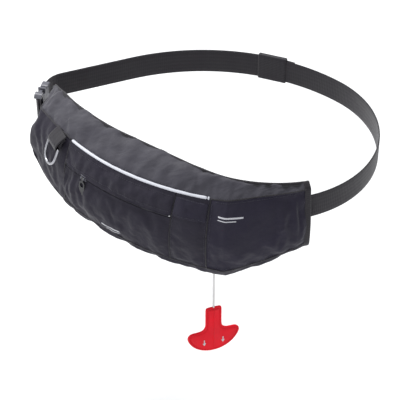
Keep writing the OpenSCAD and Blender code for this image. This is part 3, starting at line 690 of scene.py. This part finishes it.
def fan(ring, bulge, steps=6):
    """Closes a ring of points with a soft domed end."""
    ring = np.asarray(ring)
    c = ring.mean(axis=0)
    n = np.zeros(3)
    for a, b in zip(ring, np.roll(ring, -1, axis=0)):
        n += np.cross(a - c, b - c)
    n /= np.linalg.norm(n)
    rows = [ring]
    for k in range(1, steps + 1):
        t = k / steps
        rows.append(ring + (c - ring) * t + n * bulge * (1 - (1 - t) ** 2))
    return rows


# ---------------------------------------------------------------- the cover
def end_cap(col, flip, bulge, name, material):
    ring = grid[:, col]
    rows = fan(ring, bulge, 7)
    m = len(ring)
    v = np.vstack(rows[:-1] + [rows[-1].mean(axis=0)[None]])
    f = []
    for k in range(len(rows) - 2):
        for i in range(m):
            a, b = k * m + i, k * m + (i + 1) % m
            f.append([a, b, b + m, a + m])
    last = (len(rows) - 2) * m
    for i in range(m):
        f.append([last + i, last + (i + 1) % m, len(v) - 1])
    if flip:
        f = [q[::-1] for q in f]
    uv = v[:, [1, 2]]
    return add_mesh(name, v, f, material, "pack", (), uv,
                    mods=[SMOOTHED])


top = panel("top_panel_cloth", 0, ROW_P, 0, NC - 1, M["fabric_top"], ["top_panel"])
panel("left_end_cloth", ROW_P, ROW_B, 0, C0, M["fabric_shell"], ["left_end_panel"])
panel("right_panel_cloth", ROW_P, ROW_B, C2, NC - 1, M["fabric_right"], ["right_panel"])
low = panel("bottom_cloth", ROW_B, NR - 1, 0, NC - 1, M["fabric_shell"], ["bottom_panel"],
            hole=(CORD_X, CORD_Y, CORD_HOLE_R))
panel("pocket_cloth", row_of(ZIP_Z - 2), ROW_B, C0, C1, M["fabric_shell"], ["pocket_panel"])
panel("flap_pocket_cloth", ROW_P, ROW_B, C1, C2, M["fabric_shell"], ["flap_pocket_panel"])
LIP = row_of(ZIP_Z + 1.2)


def cover_lift(r, c):
    t = (r - ROW_P) / (LIP - ROW_P)
    edge = min(1.0, (c - C0) / 3.0, (C1 - c) / 1.5)
    return 0.5 + 2.6 * max(0, t) ** 1.5 * max(0.15, edge)


panel("zip_cover_cloth", ROW_P, LIP, C0, C1, M["fabric_shell"], ["pocket_upper_strip"],
      lift=cover_lift)
panel("zip_inner_cloth", row_of(0), row_of(ZIP_Z + 2.5), C0, C1, M["fabric_shell"], ())
end_cap(0, True, 4, "left_tip_cloth", M["fabric_shell"])
end_cap(NC - 1, False, 1.5, "right_tip_cloth", M["fabric_right"])

# seams: a corded welt along each, with stitch rows beside it
seams = [
    [(ROW_P, C2), (ROW_P, NC - 1)], [(ROW_P, 0), (ROW_P, C0)], [(ROW_P, C2), (ROW_B, C2)], [(ROW_P, C0), (ROW_B, C0)],
    [(ROW_B, 0), (ROW_B, NC - 1)], [(0, 0), (0, NC - 1)],
]
sp = [surface_path(s, 0.1, 3) for s in seams]
tube("seam_welts", [p for p, _ in sp], 0.95, M["webbing"], "pack", 8, 0.8, [n for _, n in sp])
sp = [surface_path([(ROW_P + 2, C1), (ROW_B, C1)], 0.1, 3)]
tube("strip_seam", [p for p, _ in sp], 0.7, M["webbing"], "pack", 8, 0.7, [n for _, n in sp])
rows = []
for a, b in [((ROW_P + 1.6, C2 + 1.1), (ROW_B - 1, C2 + 1.1)), ((ROW_P + 1.6, C2 - 1.0), (ROW_B - 1, C2 - 1.0)),
             ((ROW_P + 2.4, C1 + 0.9), (ROW_B - 1, C1 + 0.9)), ((ROW_P + 3, C0 + 1), (ROW_B - 1, C0 + 1)),
             ((ROW_P + 1.3, C2 + 2), (ROW_P + 1.3, NC - 3)), ((ROW_P - 1.2, C2 + 2), (ROW_P - 1.2, NC - 3)),
             ((ROW_P - 1.4, 2), (ROW_P - 1.4, C0 - 1)), ((ROW_B - 1.2, C2 + 2), (ROW_B - 1.2, NC - 3)),
             ((ROW_B - 1.2, C0 + 1), (ROW_B - 1.2, C2 - 1)), ((ROW_P - 1.7, C0), (ROW_P - 1.7, C2)),
             ((1.2, 4), (1.2, NC - 4))]:
    rows.append(surface_path([a, b], 0.15, 1.2))
stitches("cover_stitches", rows)


def lifted(r, c0, c1):
    cs = np.linspace(c0, c1, int((c1 - c0) * 2.4))
    q = [sample(r, c, cover_lift(r, c) + 0.1) for c in cs]
    return np.array([p for p, _ in q]), np.array([n for _, n in q])


stitches("zip_cover_stitches", [lifted(LIP - 2.2, C0 + 2, C1 - 1), lifted(ROW_P + 3.0, C0 + 1, C1 - 1)])
lp, ln = lifted(LIP, C0 + 1, C1 - 0.5)
tube("zip_cover_hem", [lp - ln * 0.5], 0.8, M["fabric_shell"], "pack", 8, 0.8, [ln])


# ---------------------------------------------------------------- piping
def ring_points(r, z, a0, a1, n):
    a = np.radians(np.linspace(a0, a1, n))
    pts = np.stack([AXIS[0] + r * np.sin(a), AXIS[1] - r * np.cos(a), np.full(n, z)], 1)
    nn = np.stack([np.sin(a), -np.cos(a), np.zeros(n)], 1)
    return pts, nn


pr = front_r(PIPING_Z)
pp, pn = ring_points(pr - 0.1, PIPING_Z - 0.4, POCKET_L, STRIP_R - 0.55, 130)
pq, pqn = ring_points(pr - 0.1, PIPING_Z - 0.4, STRIP_R - 0.4, STRIP_R, 6)
tilt = np.array([0, 0, 0.5])
tube("piping", [pp, pq], 2.15, M["reflective_tape"], "pack", 16, 1.0, [pn + tilt, pqn + tilt],
     ["reflective_piping"])

# ---------------------------------------------------------------- zip
coil_r = front_r(ZIP_Z) - 1.3
tooth_paths = []
for a in np.arange(POCKET_L + 5.1, STRIP_L - 0.7, 0.21):
    for side in (-1, 1):
        b = a + (0.1 if side > 0 else 0)
        pts = []
        for k in np.linspace(0, math.pi, 6):
            r = coil_r + 1.25 * math.sin(k)
            z = ZIP_Z + side * (1.5 * (1 - math.cos(k)) / 2 * 1.1 - 0.35)
            x = math.radians(b + 0.05 * math.cos(k))
            pts.append([AXIS[0] + r * math.sin(x), AXIS[1] - r * math.cos(x), z])
        tooth_paths.append(pts)
tube("zip_teeth", tooth_paths, 0.33, M["zip_coil"], "pack", 5, 1.0, None, ["zip_coil"])


# ---------------------------------------------------------------- straps
def strap_mesh(pts, wide, width, thick, u0=0.0):
    """A flat strap with soft selvedges along pts; wide is its width direction at each point."""
    pts, wide = np.asarray(pts, float), np.asarray(wide, float)
    t = np.gradient(pts, axis=0)
    t /= np.linalg.norm(t, axis=1, keepdims=True)
    wide = wide - np.sum(wide * t, axis=1, keepdims=True) * t
    wide /= np.linalg.norm(wide, axis=1, keepdims=True)
    n = np.cross(t, wide)
    h, q = width / 2, thick / 2
    prof = [(-h, 0), (-h + 0.5, q * 0.82), (-h + 1.6, q), (-h * 0.5, q), (0, q), (h * 0.5, q), (h - 1.6, q),
            (h - 0.5, q * 0.82),
            (h, 0), (h - 0.5, -q * 0.82), (h - 1.6, -q), (h * 0.5, -q), (0, -q), (-h * 0.5, -q), (-h + 1.6, -q),
            (-h + 0.5, -q * 0.82)]
    k = len(prof)
    L = np.concatenate([[0], np.cumsum(np.linalg.norm(np.diff(pts, axis=0), axis=1))]) + u0
    v, uv, f = [], [], []
    for i in range(len(pts)):
        for a, b in prof:
            v.append(pts[i] + a * wide[i] + b * n[i])
            uv.append((L[i], a))
    for i in range(len(pts) - 1):
        for j in range(k):
            a, b = i * k + j, i * k + (j + 1) % k
            f.append([a, b, b + k, a + k])
    f.append(list(range(k))[::-1])
    f.append([(len(pts) - 1) * k + j for j in range(k)])
    return v, f, uv


def strap(name, pts, wide, width, thick, body="pack", replaced=(), material="webbing"):
    v, f, uv = strap_mesh(pts, wide, width, thick)
    return add_mesh(name, v, f, M[material], body, replaced, uv)


def resample(pts, step):
    pts = np.asarray(pts, float)
    L = np.concatenate([[0], np.cumsum(np.linalg.norm(np.diff(pts, axis=0), axis=1))])
    x = np.linspace(0, L[-1], max(2, int(L[-1] / step) + 1))
    return np.stack([np.interp(x, L, pts[:, i]) for i in range(pts.shape[1])], 1)


bp, bh = JOINTS[7]
b_org = np.array(bp) + (BELT_OFF + 1) * outward(bh)
bx = np.array([math.cos(math.radians(bh)), math.sin(math.radians(bh))])
by = np.array([-bx[1], bx[0]])


def buckle_pt(x, y, z=0.0):
    q = b_org + x * bx + y * by
    return np.array([q[0], q[1], z])


main = [at(s, BELT_OFF + 1, 0) for s in np.arange(10, START_OF[7] - 2, 4.0)]
back_s0 = START_OF[4] + math.radians(15.5) * 280
TAIL_OFF = BELT_OFF + BELT_T + 1.2   # the doubled end lies on the belt
tail = [at(s, TAIL_OFF, 0) for s in np.arange(START_OF[7] - 4, back_s0, -4.0)] + [at(back_s0, TAIL_OFF, 0)]
loop = [buckle_pt(0, 0), buckle_pt(4, 0.8)]
for a in np.linspace(100, -100, 14):
    loop.append(buckle_pt(8 + 2.75 * math.cos(math.radians(a)), -1.1 + 2.75 * math.sin(math.radians(a))))
loop += [buckle_pt(4, -2.9), buckle_pt(0, -2.2)]
belt_path = resample(np.array(main + loop + tail), 2.2)
for _ in range(2):
    belt_path[1:-1] = (belt_path[:-2] + 2 * belt_path[1:-1] + belt_path[2:]) / 4
up = np.tile([0, 0, 1.0], (len(belt_path), 1))
strap("belt_strap", belt_path, up, BELT_W, BELT_T - 0.1, replaced=["belt_webbing", "belt_tail"])

sock = [buckle_pt(48.6, 5.6), buckle_pt(46.5, 4.2)]
for a in np.linspace(60, 300, 16):
    sock.append(buckle_pt(42.6 + 2.75 * math.cos(math.radians(a)), 2.75 * math.sin(math.radians(a))))
sock += [buckle_pt(46.4, -0.4), buckle_pt(48.6, 2.4)]
sock = resample(np.array(sock), 1.2)
strap("socket_strap", sock, np.tile([0, 0, 1.0], (len(sock), 1)), BELT_W, 1.8, replaced=["socket_webbing"])

# keeper: a folded band of webbing round both layers
kc = np.array(JOINTS[4][0]) - 280 * outward(JOINTS[4][1])
ka = JOINTS[4][1] + 18 + 9 / 2
kdir = np.array([math.cos(math.radians(ka)), math.sin(math.radians(ka))])
kout = outward(ka)
kmid = kc + (280 + BELT_OFF + 2.1) * kout
kr = []
for a in np.linspace(0, 2 * math.pi, 60, endpoint=True):
    cz, co_ = math.cos(a), math.sin(a)
    e = 0.22
    z = (19.9 + 0.9) * np.sign(cz) * abs(cz) ** e
    o_ = 3.35 * np.sign(co_) * abs(co_) ** e
    kr.append([kmid[0] + o_ * kout[0], kmid[1] + o_ * kout[1], z])
kr = np.array(kr)
kw = np.tile([kdir[0], kdir[1], 0.0], (len(kr), 1))
strap("keeper_band", kr, kw, 44, 1.3, body="belt_keeper", replaced=["belt_keeper"])

# D-ring tab: webbing folded round the ring's bar and sewn under the piping seam
RA, RZ, RH = -21, 10, -10
R_BAR = front_r(RZ) + 8
ra = math.radians(RA)
rc = np.array([AXIS[0] + R_BAR * math.sin(ra), AXIS[1] - R_BAR * math.cos(ra), 0])
rh = math.radians(RA + RH)
rn, rt = np.array([math.sin(rh), -math.cos(rh), 0]), np.array([math.cos(rh), math.sin(rh), 0])


def ring_pt(x, r, z):
    return rc + x * rt + (r - R_BAR) * rn + np.array([0, 0, z])


tp = [ring_pt(0, R_BAR - 14.5, RZ + 17.5), ring_pt(0, R_BAR - 10.5, RZ + 15.5), ring_pt(0, R_BAR - 4.0, RZ + 11),
      ring_pt(0, R_BAR + 1.0, RZ + 6), ring_pt(0, R_BAR + 2.8, RZ + 2)]
for a in np.linspace(30, -150, 14):
    tp.append(ring_pt(0, R_BAR + 3.0 * math.cos(math.radians(a)), RZ + 3.0 * math.sin(math.radians(a))))
tp += [ring_pt(0, R_BAR - 3.3, RZ + 3), ring_pt(0, R_BAR - 6.0, RZ + 8), ring_pt(0, R_BAR - 12.5, RZ + 13.5)]
tp = resample(np.array(tp), 1.2)
for _ in range(3):
    tp[1:-1] = (tp[:-2] + 2 * tp[1:-1] + tp[2:]) / 4
strap("ring_tab_strap", tp, np.tile(rt, (len(tp), 1)), 31, 1.9, replaced=["ring_tab"])
bx_lines = []
for x0, z0, x1, z1 in [(-12, 5, 12, 5), (-12, 13, 12, 13), (-12, 5, 12, 13), (-12, 13, 12, 5)]:
    pts = []
    for t in np.linspace(0, 1, 30):
        z = z0 + (z1 - z0) * t
        r = np.interp(z, [2, 6, 11, 15.5], [R_BAR + 2.8, R_BAR + 1.0, R_BAR - 4.0, R_BAR - 10.5]) + 1.1
        pts.append(ring_pt(x0 + (x1 - x0) * t, r, RZ + z))
    bx_lines.append((np.array(pts), np.tile(rn, (30, 1))))
stitches("ring_tab_stitches", bx_lines, "thread", pitch=2.6, length=1.9)


# ---------------------------------------------------------------- back panel: padded air mesh with sewn channels
def back_section(s):
    lo, hi = scaled_z(s, BOTTOM_Z) + 2, scaled_z(s, TOP_Z) - 2.2
    zs = np.linspace(lo + 1.8, hi - 1.8, 34)
    edge_s = min(1, (s - TIP) / 10, (END - s) / 10)
    ring = []
    for z in zs:
        e = min(1, (z - lo - 1.8) / 7, (hi - 1.8 - z) / 7)
        ch = min(abs(z - c) for c in (-38, 6))
        groove = min(1, ch / 8) ** 0.5
        vert = min(abs(s - c) for c in (110, 225, 340))
        groove = min(groove, min(1, vert / 9) ** 0.5)
        ring.append([-3.4 * max(0, min(e, edge_s)) ** 0.5 * groove + 0.9, z])
    ring += [[0.6, hi], [PAD_T - 0.6, hi], [PAD_T, hi - 1.8], [PAD_T, lo + 1.8], [PAD_T - 0.6, lo], [0.6, lo]]
    return ring


bs = np.linspace(TIP, END, 150)
bv, bu, bf = [], [], []
for s in bs:
    ring = back_section(s)
    for o_, z_ in ring:
        bv.append(at(s, o_, z_))
        bu.append((s, z_ + (60 if o_ > 3 else 0)))
k = len(ring)
for i in range(len(bs) - 1):
    for j in range(k):
        a, b = i * k + j, i * k + (j + 1) % k
        bf.append([a, a + k, b + k, b])
bf.append(list(range(k)))
bf.append([(len(bs) - 1) * k + j for j in range(k)][::-1])
back = add_mesh("back_pad", bv, bf, M["fabric_back"], "pack", ["back_panel"], bu)
ch_lines = []
for c in (110, 225, 340):
    lo, hi = scaled_z(c, BOTTOM_Z) + 8, scaled_z(c, TOP_Z) - 8
    ch_lines.append((np.array([at(c, 0.6, z) for z in np.linspace(lo, hi, 60)]),
                     np.tile(np.append(-outward(place(c)[1]), 0), (60, 1))))
for z in (-38, 6):
    ss = np.linspace(18, END - 14, 220)
    ch_lines.append((np.array([at(s, 0.6, z) for s in ss]),
                     np.array([np.append(-outward(place(s)[1]), 0) for s in ss])))
stitches("back_stitches", ch_lines, "thread_dark", lift=0.0)
# binding tape round the back panel's rim
rim = []
for s in np.linspace(TIP, END, 160):
    rim.append(at(s, 0.9, scaled_z(s, TOP_Z) - 1.6))
rim2 = [at(s, 0.9, scaled_z(s, BOTTOM_Z) + 1.8) for s in np.linspace(TIP, END, 160)]
tube("back_binding", [rim, rim2], 2.0, M["webbing"], "pack", 10, 1.0)

# right end: a folded binding strip round the end's edge
ring = grid[:, NC - 1]
e_dir = np.append([math.cos(math.radians(place(END)[1])), math.sin(math.radians(place(END)[1]))], 0)
bd = resample(ring, 2.5)
bn = normals(grid)[:, -1]
bn_r = np.stack([np.interp(np.linspace(0, 1, len(bd)), np.linspace(0, 1, len(ring)), bn[:, i]) for i in range(3)], 1)
strap("end_binding_strip", bd + bn_r * 0.4 + e_dir * 0.2, np.tile(e_dir, (len(bd), 1)), 9, 1.4,
      replaced=["right_end_binding"])

# ---------------------------------------------------------------- flap of the narrow pocket
fl0, fl1 = row_of(19.5), row_of(-5)
fc = np.linspace(C1 + 0.7, C2 - 0.9, 24)
fr = np.linspace(fl0, fl1, 22)
fv, fu = [], []
for i, r in enumerate(fr):
    t = i / (len(fr) - 1)
    for j, c in enumerate(fc):
        u = j / (len(fc) - 1)
        p, n = sample(r, c, 1.1 + 1.0 * t + 0.45 * t * math.sin(u * math.pi * 2.4 + 0.6))
        fv.append(p)
        fu.append((u * 46, t * 25))
nfc = len(fc)
ff = [[i * nfc + j, (i + 1) * nfc + j, (i + 1) * nfc + j + 1, i * nfc + j + 1]
      for i in range(len(fr) - 1) for j in range(nfc - 1)]
add_mesh("flap_cloth", fv, ff, M["fabric_right"], "pocket_flap", ["pocket_flap"], fu,
         mods=[("SOLIDIFY", {"thickness": 0.9 * MM, "offset": 0.0}), SMOOTHED])
fv_ = np.array(fv).reshape(len(fr), nfc, 3)
fl_lines = []
for i in (1, len(fr) - 3):
    line = fv_[i, 1:-1]
    nn = np.array([sample(fr[i], c)[1] for c in fc[1:-1]])
    fl_lines.append((line + nn * 0.55, nn))
stitches("flap_stitches", fl_lines, "thread", "pocket_flap")


# ---------------------------------------------------------------- hard parts: CAD shapes with worn, rounded edges
def refine(name, width, body, slot, segments=2):
    src = nodes[name]
    me = src.data.copy()
    ob = bpy.data.objects.new(name + "_moulded", me)
    scene.collection.objects.link(ob)
    import_mat = M[slot]
    me.materials.clear()
    me.materials.append(import_mat)
    for other in bpy.context.selected_objects:
        other.select_set(False)
    bpy.context.view_layer.objects.active = ob
    ob.select_set(True)
    bpy.ops.object.mode_set(mode="EDIT")
    bpy.ops.mesh.select_all(action="SELECT")
    bpy.ops.mesh.remove_doubles(threshold=0.00002)
    bpy.ops.mesh.customdata_custom_splitnormals_clear()
    bpy.ops.mesh.dissolve_limited(angle_limit=math.radians(1.5))
    bpy.ops.object.mode_set(mode="OBJECT")
    ob.select_set(False)
    for p in me.polygons:
        p.use_smooth = True
    bv_ = ob.modifiers.new("bevel", "BEVEL")
    bv_.width = width
    bv_.segments = segments
    bv_.limit_method = "ANGLE"
    bv_.angle_limit = math.radians(32)
    bv_.use_clamp_overlap = True
    wn = ob.modifiers.new("normals", "WEIGHTED_NORMAL")
    wn.keep_sharp = True
    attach(ob, body)
    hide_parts(name)
    return ob


refine("buckle_socket", 0.0009, "pack", "grey_plastic", 3)
refine("buckle_plug", 0.0008, "pack", "grey_plastic", 3)
refine("prong_upper", 0.0005, "prong_upper", "grey_plastic")
refine("prong_lower", 0.0005, "prong_lower", "grey_plastic")
refine("zip_slider", 0.00035, "zip_slider", "grey_plastic")
refine("zip_pull", 0.0004, "zip_pull", "black_plastic")
refine("cord_grommet", 0.0004, "pack", "black_plastic")

# ---------------------------------------------------------------- pull cord and tab details
CORD_TOP = -22 + 21 * math.tan(math.radians(30)) + 7.5 / math.cos(math.radians(30)) + 0.2
CORD_END = -174.0
cu = bpy.data.curves.new("cord_line", "CURVE")
cu.dimensions = "3D"
cu.bevel_depth = 0.0016
cu.bevel_resolution = 3
spl = cu.splines.new("POLY")
zz = np.linspace(CORD_TOP, CORD_END, 30)
spl.points.add(len(zz) - 1)
for q, z in zip(spl.points, zz):
    q.co = (CORD_X * MM, CORD_Y * MM, z * MM, 1)
cu.materials.append(M["white_cord"])
cord = bpy.data.objects.new("pull_cord_line", cu)
scene.collection.objects.link(cord)
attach(cord, "pull_handle")
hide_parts("pull_cord")
kn = []
for t in np.linspace(0, 2 * math.pi, 60):
    x, y, z = math.sin(t) + 2 * math.sin(2 * t), math.cos(t) - 2 * math.cos(2 * t), -math.sin(3 * t)
    kn.append([CORD_X + x * 0.75, CORD_Y + y * 0.75, CORD_TOP + z * 0.9])
knot = tube("cord_knot", [kn], 1.2, M["white_cord"], "pull_handle")

TT = math.radians(53)
tx, ty = np.array([math.cos(TT), math.sin(TT), 0]), np.array([-math.sin(TT), math.cos(TT), 0])
Z_UP = np.array([0, 0, 1.0])
TAB_TOP = np.array([CORD_X, CORD_Y, -168.0])
TAB_HALF = 2.0                     # half the tab's thickness


def tab_pt(x, z, side, lift=0.0):
    return TAB_TOP + x * tx + z * Z_UP - side * (TAB_HALF + lift) * ty


def tab_outline(inset):
    """The tab's edge, drawn in from its cut by inset, as x and z from its top."""
    pts = []
    w, fil, r = 12 - inset, 9 + inset, 40 - inset
    for t in np.linspace(0, 1, 8):
        pts.append((w, -inset - t * (35 - 2 * inset)))
    for a in np.linspace(180, 270, 8):
        pts.append((21 + fil * math.cos(math.radians(a)), -35 + fil * math.sin(math.radians(a))))
    pts.append((r * 0.86, -44 - inset))
    for a in np.linspace(-10, -170, 40):
        pts.append((r * math.cos(math.radians(a)), -44 + r * math.sin(math.radians(a))))
    pts.append((-r * 0.86, -44 - inset))
    for a in np.linspace(270, 360, 8):
        pts.append((-21 + fil * math.cos(math.radians(a)), -35 + fil * math.sin(math.radians(a))))
    for t in np.linspace(1, 0, 8):
        pts.append((-w, -inset - t * (35 - 2 * inset)))
    pts.append(pts[0])
    return np.array(pts)


def rounded(line, step, times):
    """Evenly spaced closed line with its corners worn round."""
    q = resample(line, step)[:-1]
    for _ in range(times):
        q = (np.roll(q, 1, 0) + 2 * q + np.roll(q, -1, 0)) / 4
    return q


edge = rounded(tab_outline(0), 0.9, 26)
e_t = np.roll(edge, -1, 0) - np.roll(edge, 1, 0)
e_t /= np.linalg.norm(e_t, axis=1, keepdims=True)
e_n = np.stack([-e_t[:, 1], e_t[:, 0]], 1)
if np.mean(np.sum(e_n * (edge - [0, -45]), axis=1)) > 0:
    e_n = -e_n
TAB_SECTION = [(0, 0.35), (0.25, 1.15), (0.9, 1.75), (1.9, 1.95), (2.7, 1.75), (3.1, 1.35), (3.6, 1.7), (4.6, 1.9)]
rings = [(a, -b) for a, b in TAB_SECTION[::-1]] + TAB_SECTION
tv = []
for inset, half in rings:
    for q, n in zip(edge, e_n):
        tv.append(TAB_TOP + (q[0] + n[0] * inset) * tx + (q[1] + n[1] * inset) * Z_UP - half * ty)
ne = len(edge)
tf = [[k * ne + j, k * ne + (j + 1) % ne, (k + 1) * ne + (j + 1) % ne, (k + 1) * ne + j]
      for k in range(len(rings) - 1) for j in range(ne)]
tf.append(list(range(ne))[::-1])
tf.append([(len(rings) - 1) * ne + j for j in range(ne)])
add_mesh("pull_tab_moulded", tv, tf, M["tab_red"], "pull_handle", ["pull_tab"],
         np.array([(float((v - tv[0]) @ tx), float(v[2])) for v in tv]))

ol = tab_outline(3.2)
for side, nm in ((1, "front"), (-1, "rear")):
    pts = resample(np.array([tab_pt(x, z, side, 0.0) for x, z in ol]), 1.2)
    stitches("tab_stitches_" + nm, [(pts, np.tile(-side * ty, (len(pts), 1)))], "tab_red", "pull_handle",
             2.6, 1.9, 0.6)
    rib = np.array([tab_pt(0, z, side, 0.0) for z in np.linspace(-3, -80, 40)])
    tube("tab_rib_" + nm, [rib], 0.9, M["tab_red"], "pull_handle", 8, 0.7, [np.tile(-side * ty, (40, 1))])
    marks, mf = [], []
    for x in (-14.0, 14.0):
        for (px, pz) in ((x - 2.6, -66), (x + 2.6, -66), (x, -71)):
            marks.append(tab_pt(px, pz, side, 0.12))
        mf.append([len(marks) - 3, len(marks) - 2, len(marks) - 1])
        for (px, pz) in ((x - 0.7, -60), (x + 0.7, -60), (x + 0.7, -66.2), (x - 0.7, -66.2)):
            marks.append(tab_pt(px, pz, side, 0.12))
        mf.append([len(marks) - 4, len(marks) - 3, len(marks) - 2, len(marks) - 1])
    add_mesh("tab_arrows_" + nm, marks, mf, M["print_white"], "pull_handle", smooth=False,
             mods=[("SOLIDIFY", {"thickness": 0.1 * MM, "offset": 0.0})])


# ---------------------------------------------------------------- plain printed bars in place of the old prints
def printed(name, bars):
    v, f = [], []
    for r0, c0, r1, c1 in bars:
        nr, nc = 3, 12
        base = len(v)
        for i in range(nr):
            for j in range(nc):
                v.append(sample(r0 + (r1 - r0) * i / (nr - 1), c0 + (c1 - c0) * j / (nc - 1), 0.12)[0])
        for i in range(nr - 1):
            for j in range(nc - 1):
                a = base + i * nc + j
                f.append([a, a + nc, a + nc + 1, a + 1])
    return add_mesh(name, v, f, M["print_white"], "pack",
                    mods=[("SOLIDIFY", {"thickness": 0.1 * MM, "offset": 0.0})])


printed("panel_print", [[row_of(7), C2 + 4, row_of(5), C2 + 13.5], [row_of(2.6), C2 + 4, row_of(1.4), C2 + 11]])
printed("pocket_print", [[row_of(-60), C0 + 25, row_of(-62.6), C0 + 36],
                         [row_of(-65), C0 + 28, row_of(-66.4), C0 + 36]])

# ---------------------------------------------------------------- floor
fm, nt, b = base_mat("floor_pale")
co = node(nt, "ShaderNodeTexCoord").outputs["Object"]
nt.links.new(ramp(nt, noise(nt, co, 3, 3), [(0.3, 0.86), (0.7, 0.9)]), b.inputs["Base Color"])
b.inputs["Roughness"].default_value = 0.9
me = bpy.data.meshes.new("floor")
me.from_pydata([(-9, -9, 0), (9, -9, 0), (9, 9, 0), (-9, 9, 0)], [], [[0, 1, 2, 3]])
me.materials.append(fm)
floor = bpy.data.objects.new("floor", me)
floor.location = (0, 0, -0.42)
scene.collection.objects.link(floor)
floor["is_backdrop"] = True


def plain(x):
    return [plain(v) for v in x] if hasattr(x, "__len__") else float(x)


bpy.context.view_layer.update()
{"cad": plain(cad_box), "visual": plain(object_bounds())}
